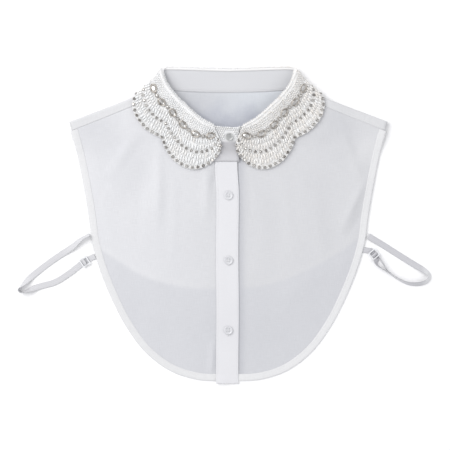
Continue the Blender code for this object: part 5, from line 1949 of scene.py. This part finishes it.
# %% Buttonholes and button threads
SLIT_HALF, SLIT_BARS, SLIT_OFFSET = 6.4, 44, 0.85
BAR_SIZE, UPWARD, ACROSS = [0.17, 0.65, 0.14], [0.0, 0.0, 1.0], [1.0, 0.0, 0.0]
bar_sets = []
for centre in button_centres:
    level = np.full(SLIT_BARS, float(centre[2]) - BUTTON_TOP)
    slit_y = centre[1] + np.linspace(-SLIT_HALF, SLIT_HALF, SLIT_BARS)
    for offset in (-SLIT_OFFSET, SLIT_OFFSET):
        spot = np.column_stack([np.full(SLIT_BARS, centre[0] + offset), slit_y, level])
        bars = [np.tile([row], (SLIT_BARS, 1)) for row in (UPWARD, ACROSS, BAR_SIZE)]
        bar_sets.append((spot, *bars))
    for turn in (1.0, -1.0):
        cross_down = unit(np.array([[1.0, turn, 0.0]]))
        cross_size = np.array([[0.3, HOLE_OFFSET * 1.45, 0.3]])
        spot = centre[None] + [0.0, 0.0, 0.25]
        bar_sets.append((spot, np.array([UPWARD]), cross_down, cross_size))
origin, out, down, size = [np.concatenate(parts) for parts in zip(*bar_sets)]
points, faces = scatter(TUBE, TUBE_FACES, origin, out, down, size)
holes = make_piece("buttonholes", points, faces, thread.material)
print("bars and crosses:", len(origin))

# %% [markdown]
# ## Sliders
# The sliders' CAD shapes are right as they are, three bars between two rails. They keep
# their meshes and get a smooth moulded plastic with faint flow marks.

# %% Sliders
moulded = Finish("moulded_white", Roughness=0.25, Coat_Weight=0.3, Coat_Roughness=0.1)
flow = moulded.noise(moulded.stretched(moulded.place(), 300.0, 900.0, 300.0), 1.0, 3.0)
moulded.feed("Base Color", moulded.between(flow, (0.74, 0.75, 0.77), (0.86, 0.87, 0.89)))
moulded.feed("Roughness", flow * 0.2 + 0.15)
moulded.relief(flow, 0.03, 0.5)
for side_name in ("left", "right"):
    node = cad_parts["slider_" + side_name]
    if not node.material_slots:
        node.data.materials.append(moulded.material)
    for slot in node.material_slots:
        slot.material = moulded.material
    print("slider faces:", len(node.data.polygons))

print("sheets declared:", 5)

# %% [markdown]
# ## Table
# The collar lies on a plain white table, large enough that its edge is never seen. One
# square face with a faint grain is all that it needs.

# %% Table
TABLE_HALF, TABLE_DROP = 2500.0, 0.02
table_finish = Finish("pale_table", Roughness=0.9)
table_grain = table_finish.noise(table_finish.place(), 6.0, 2.0)
table_color = table_finish.between(table_grain, (0.955, 0.955, 0.96), (0.965, 0.965, 0.97))
table_finish.feed("Base Color", table_color)
ends = np.array([-TABLE_HALF, TABLE_HALF])
x, y = np.meshgrid(ends, ends)
ground = np.stack([x, y, np.full_like(x, -TABLE_DROP)], axis=-1)
mesh = bpy.data.meshes.new("table_top")
mesh.from_pydata((ground.reshape(-1, 3) * MM).tolist(), [], grid_faces(2, 2).tolist())
mesh.materials.append(table_finish.material)
floor = bpy.data.objects.new("table_top", mesh)
bpy.context.scene.collection.objects.link(floor)
print("table, metres across:", 2.0 * TABLE_HALF * MM)

# %% [markdown]
# ## Light
# A wide soft lamp at the upper left rakes over the folds, a weaker one fills from the
# right, and the sky gives the rest. A wide lamp makes soft shadows, as a window does.

# %% Lamps and sky
def soft_lamp(name, place, size, watts, color):
    """Square area lamp that faces the collar's middle."""
    data = bpy.data.lights.new(name, "AREA")
    data.size, data.energy, data.color = size, watts, color
    lamp = bpy.data.objects.new(name, data)
    place = np.array(place)
    back = unit(place)
    right = unit(np.cross([0.0, 1.0, 0.0], back))
    up = np.cross(back, right)
    turn = np.eye(4)
    turn[:3, 0], turn[:3, 1], turn[:3, 2], turn[:3, 3] = right, up, back, place
    lamp.matrix_world = Matrix(turn.tolist())
    bpy.context.scene.collection.objects.link(lamp)


soft_lamp("key", (-1.15, 0.72, 1.4), 1.45, 25.5, (1.0, 0.99, 0.985))
soft_lamp("fill", (1.6, -0.7, 1.5), 1.6, 10.0, (0.99, 0.99, 1.0))
world = bpy.data.worlds.new("studio")
world.use_nodes = True
sky = world.node_tree.nodes["Background"]
sky.inputs[0].default_value = (0.975, 0.98, 1.0, 1.0)
sky.inputs[1].default_value = 0.66
bpy.context.scene.world = world
bpy.context.scene.view_settings.view_transform = "Standard"
print("lamps: key and fill, with a pale sky")

# %% [markdown]
# ## Camera
# The camera looks straight down from far enough that the picture is almost without
# perspective. Its height follows from the width that the picture shows and from the lens.

# %% Camera
PHOTO_WIDTH, LENS, SENSOR = 0.504, 85.0, 36.0
camera_data = bpy.data.cameras.new("overhead")
camera_data.lens, camera_data.sensor_width = LENS, SENSOR
height = PHOTO_WIDTH / 2.0 / (SENSOR / 2.0 / LENS) + 0.004
camera = bpy.data.objects.new("overhead", camera_data)
camera.location = (-0.00072, 0.00112, height)
bpy.context.scene.collection.objects.link(camera)
bpy.context.scene.camera = camera
print("camera height", round(height, 3))
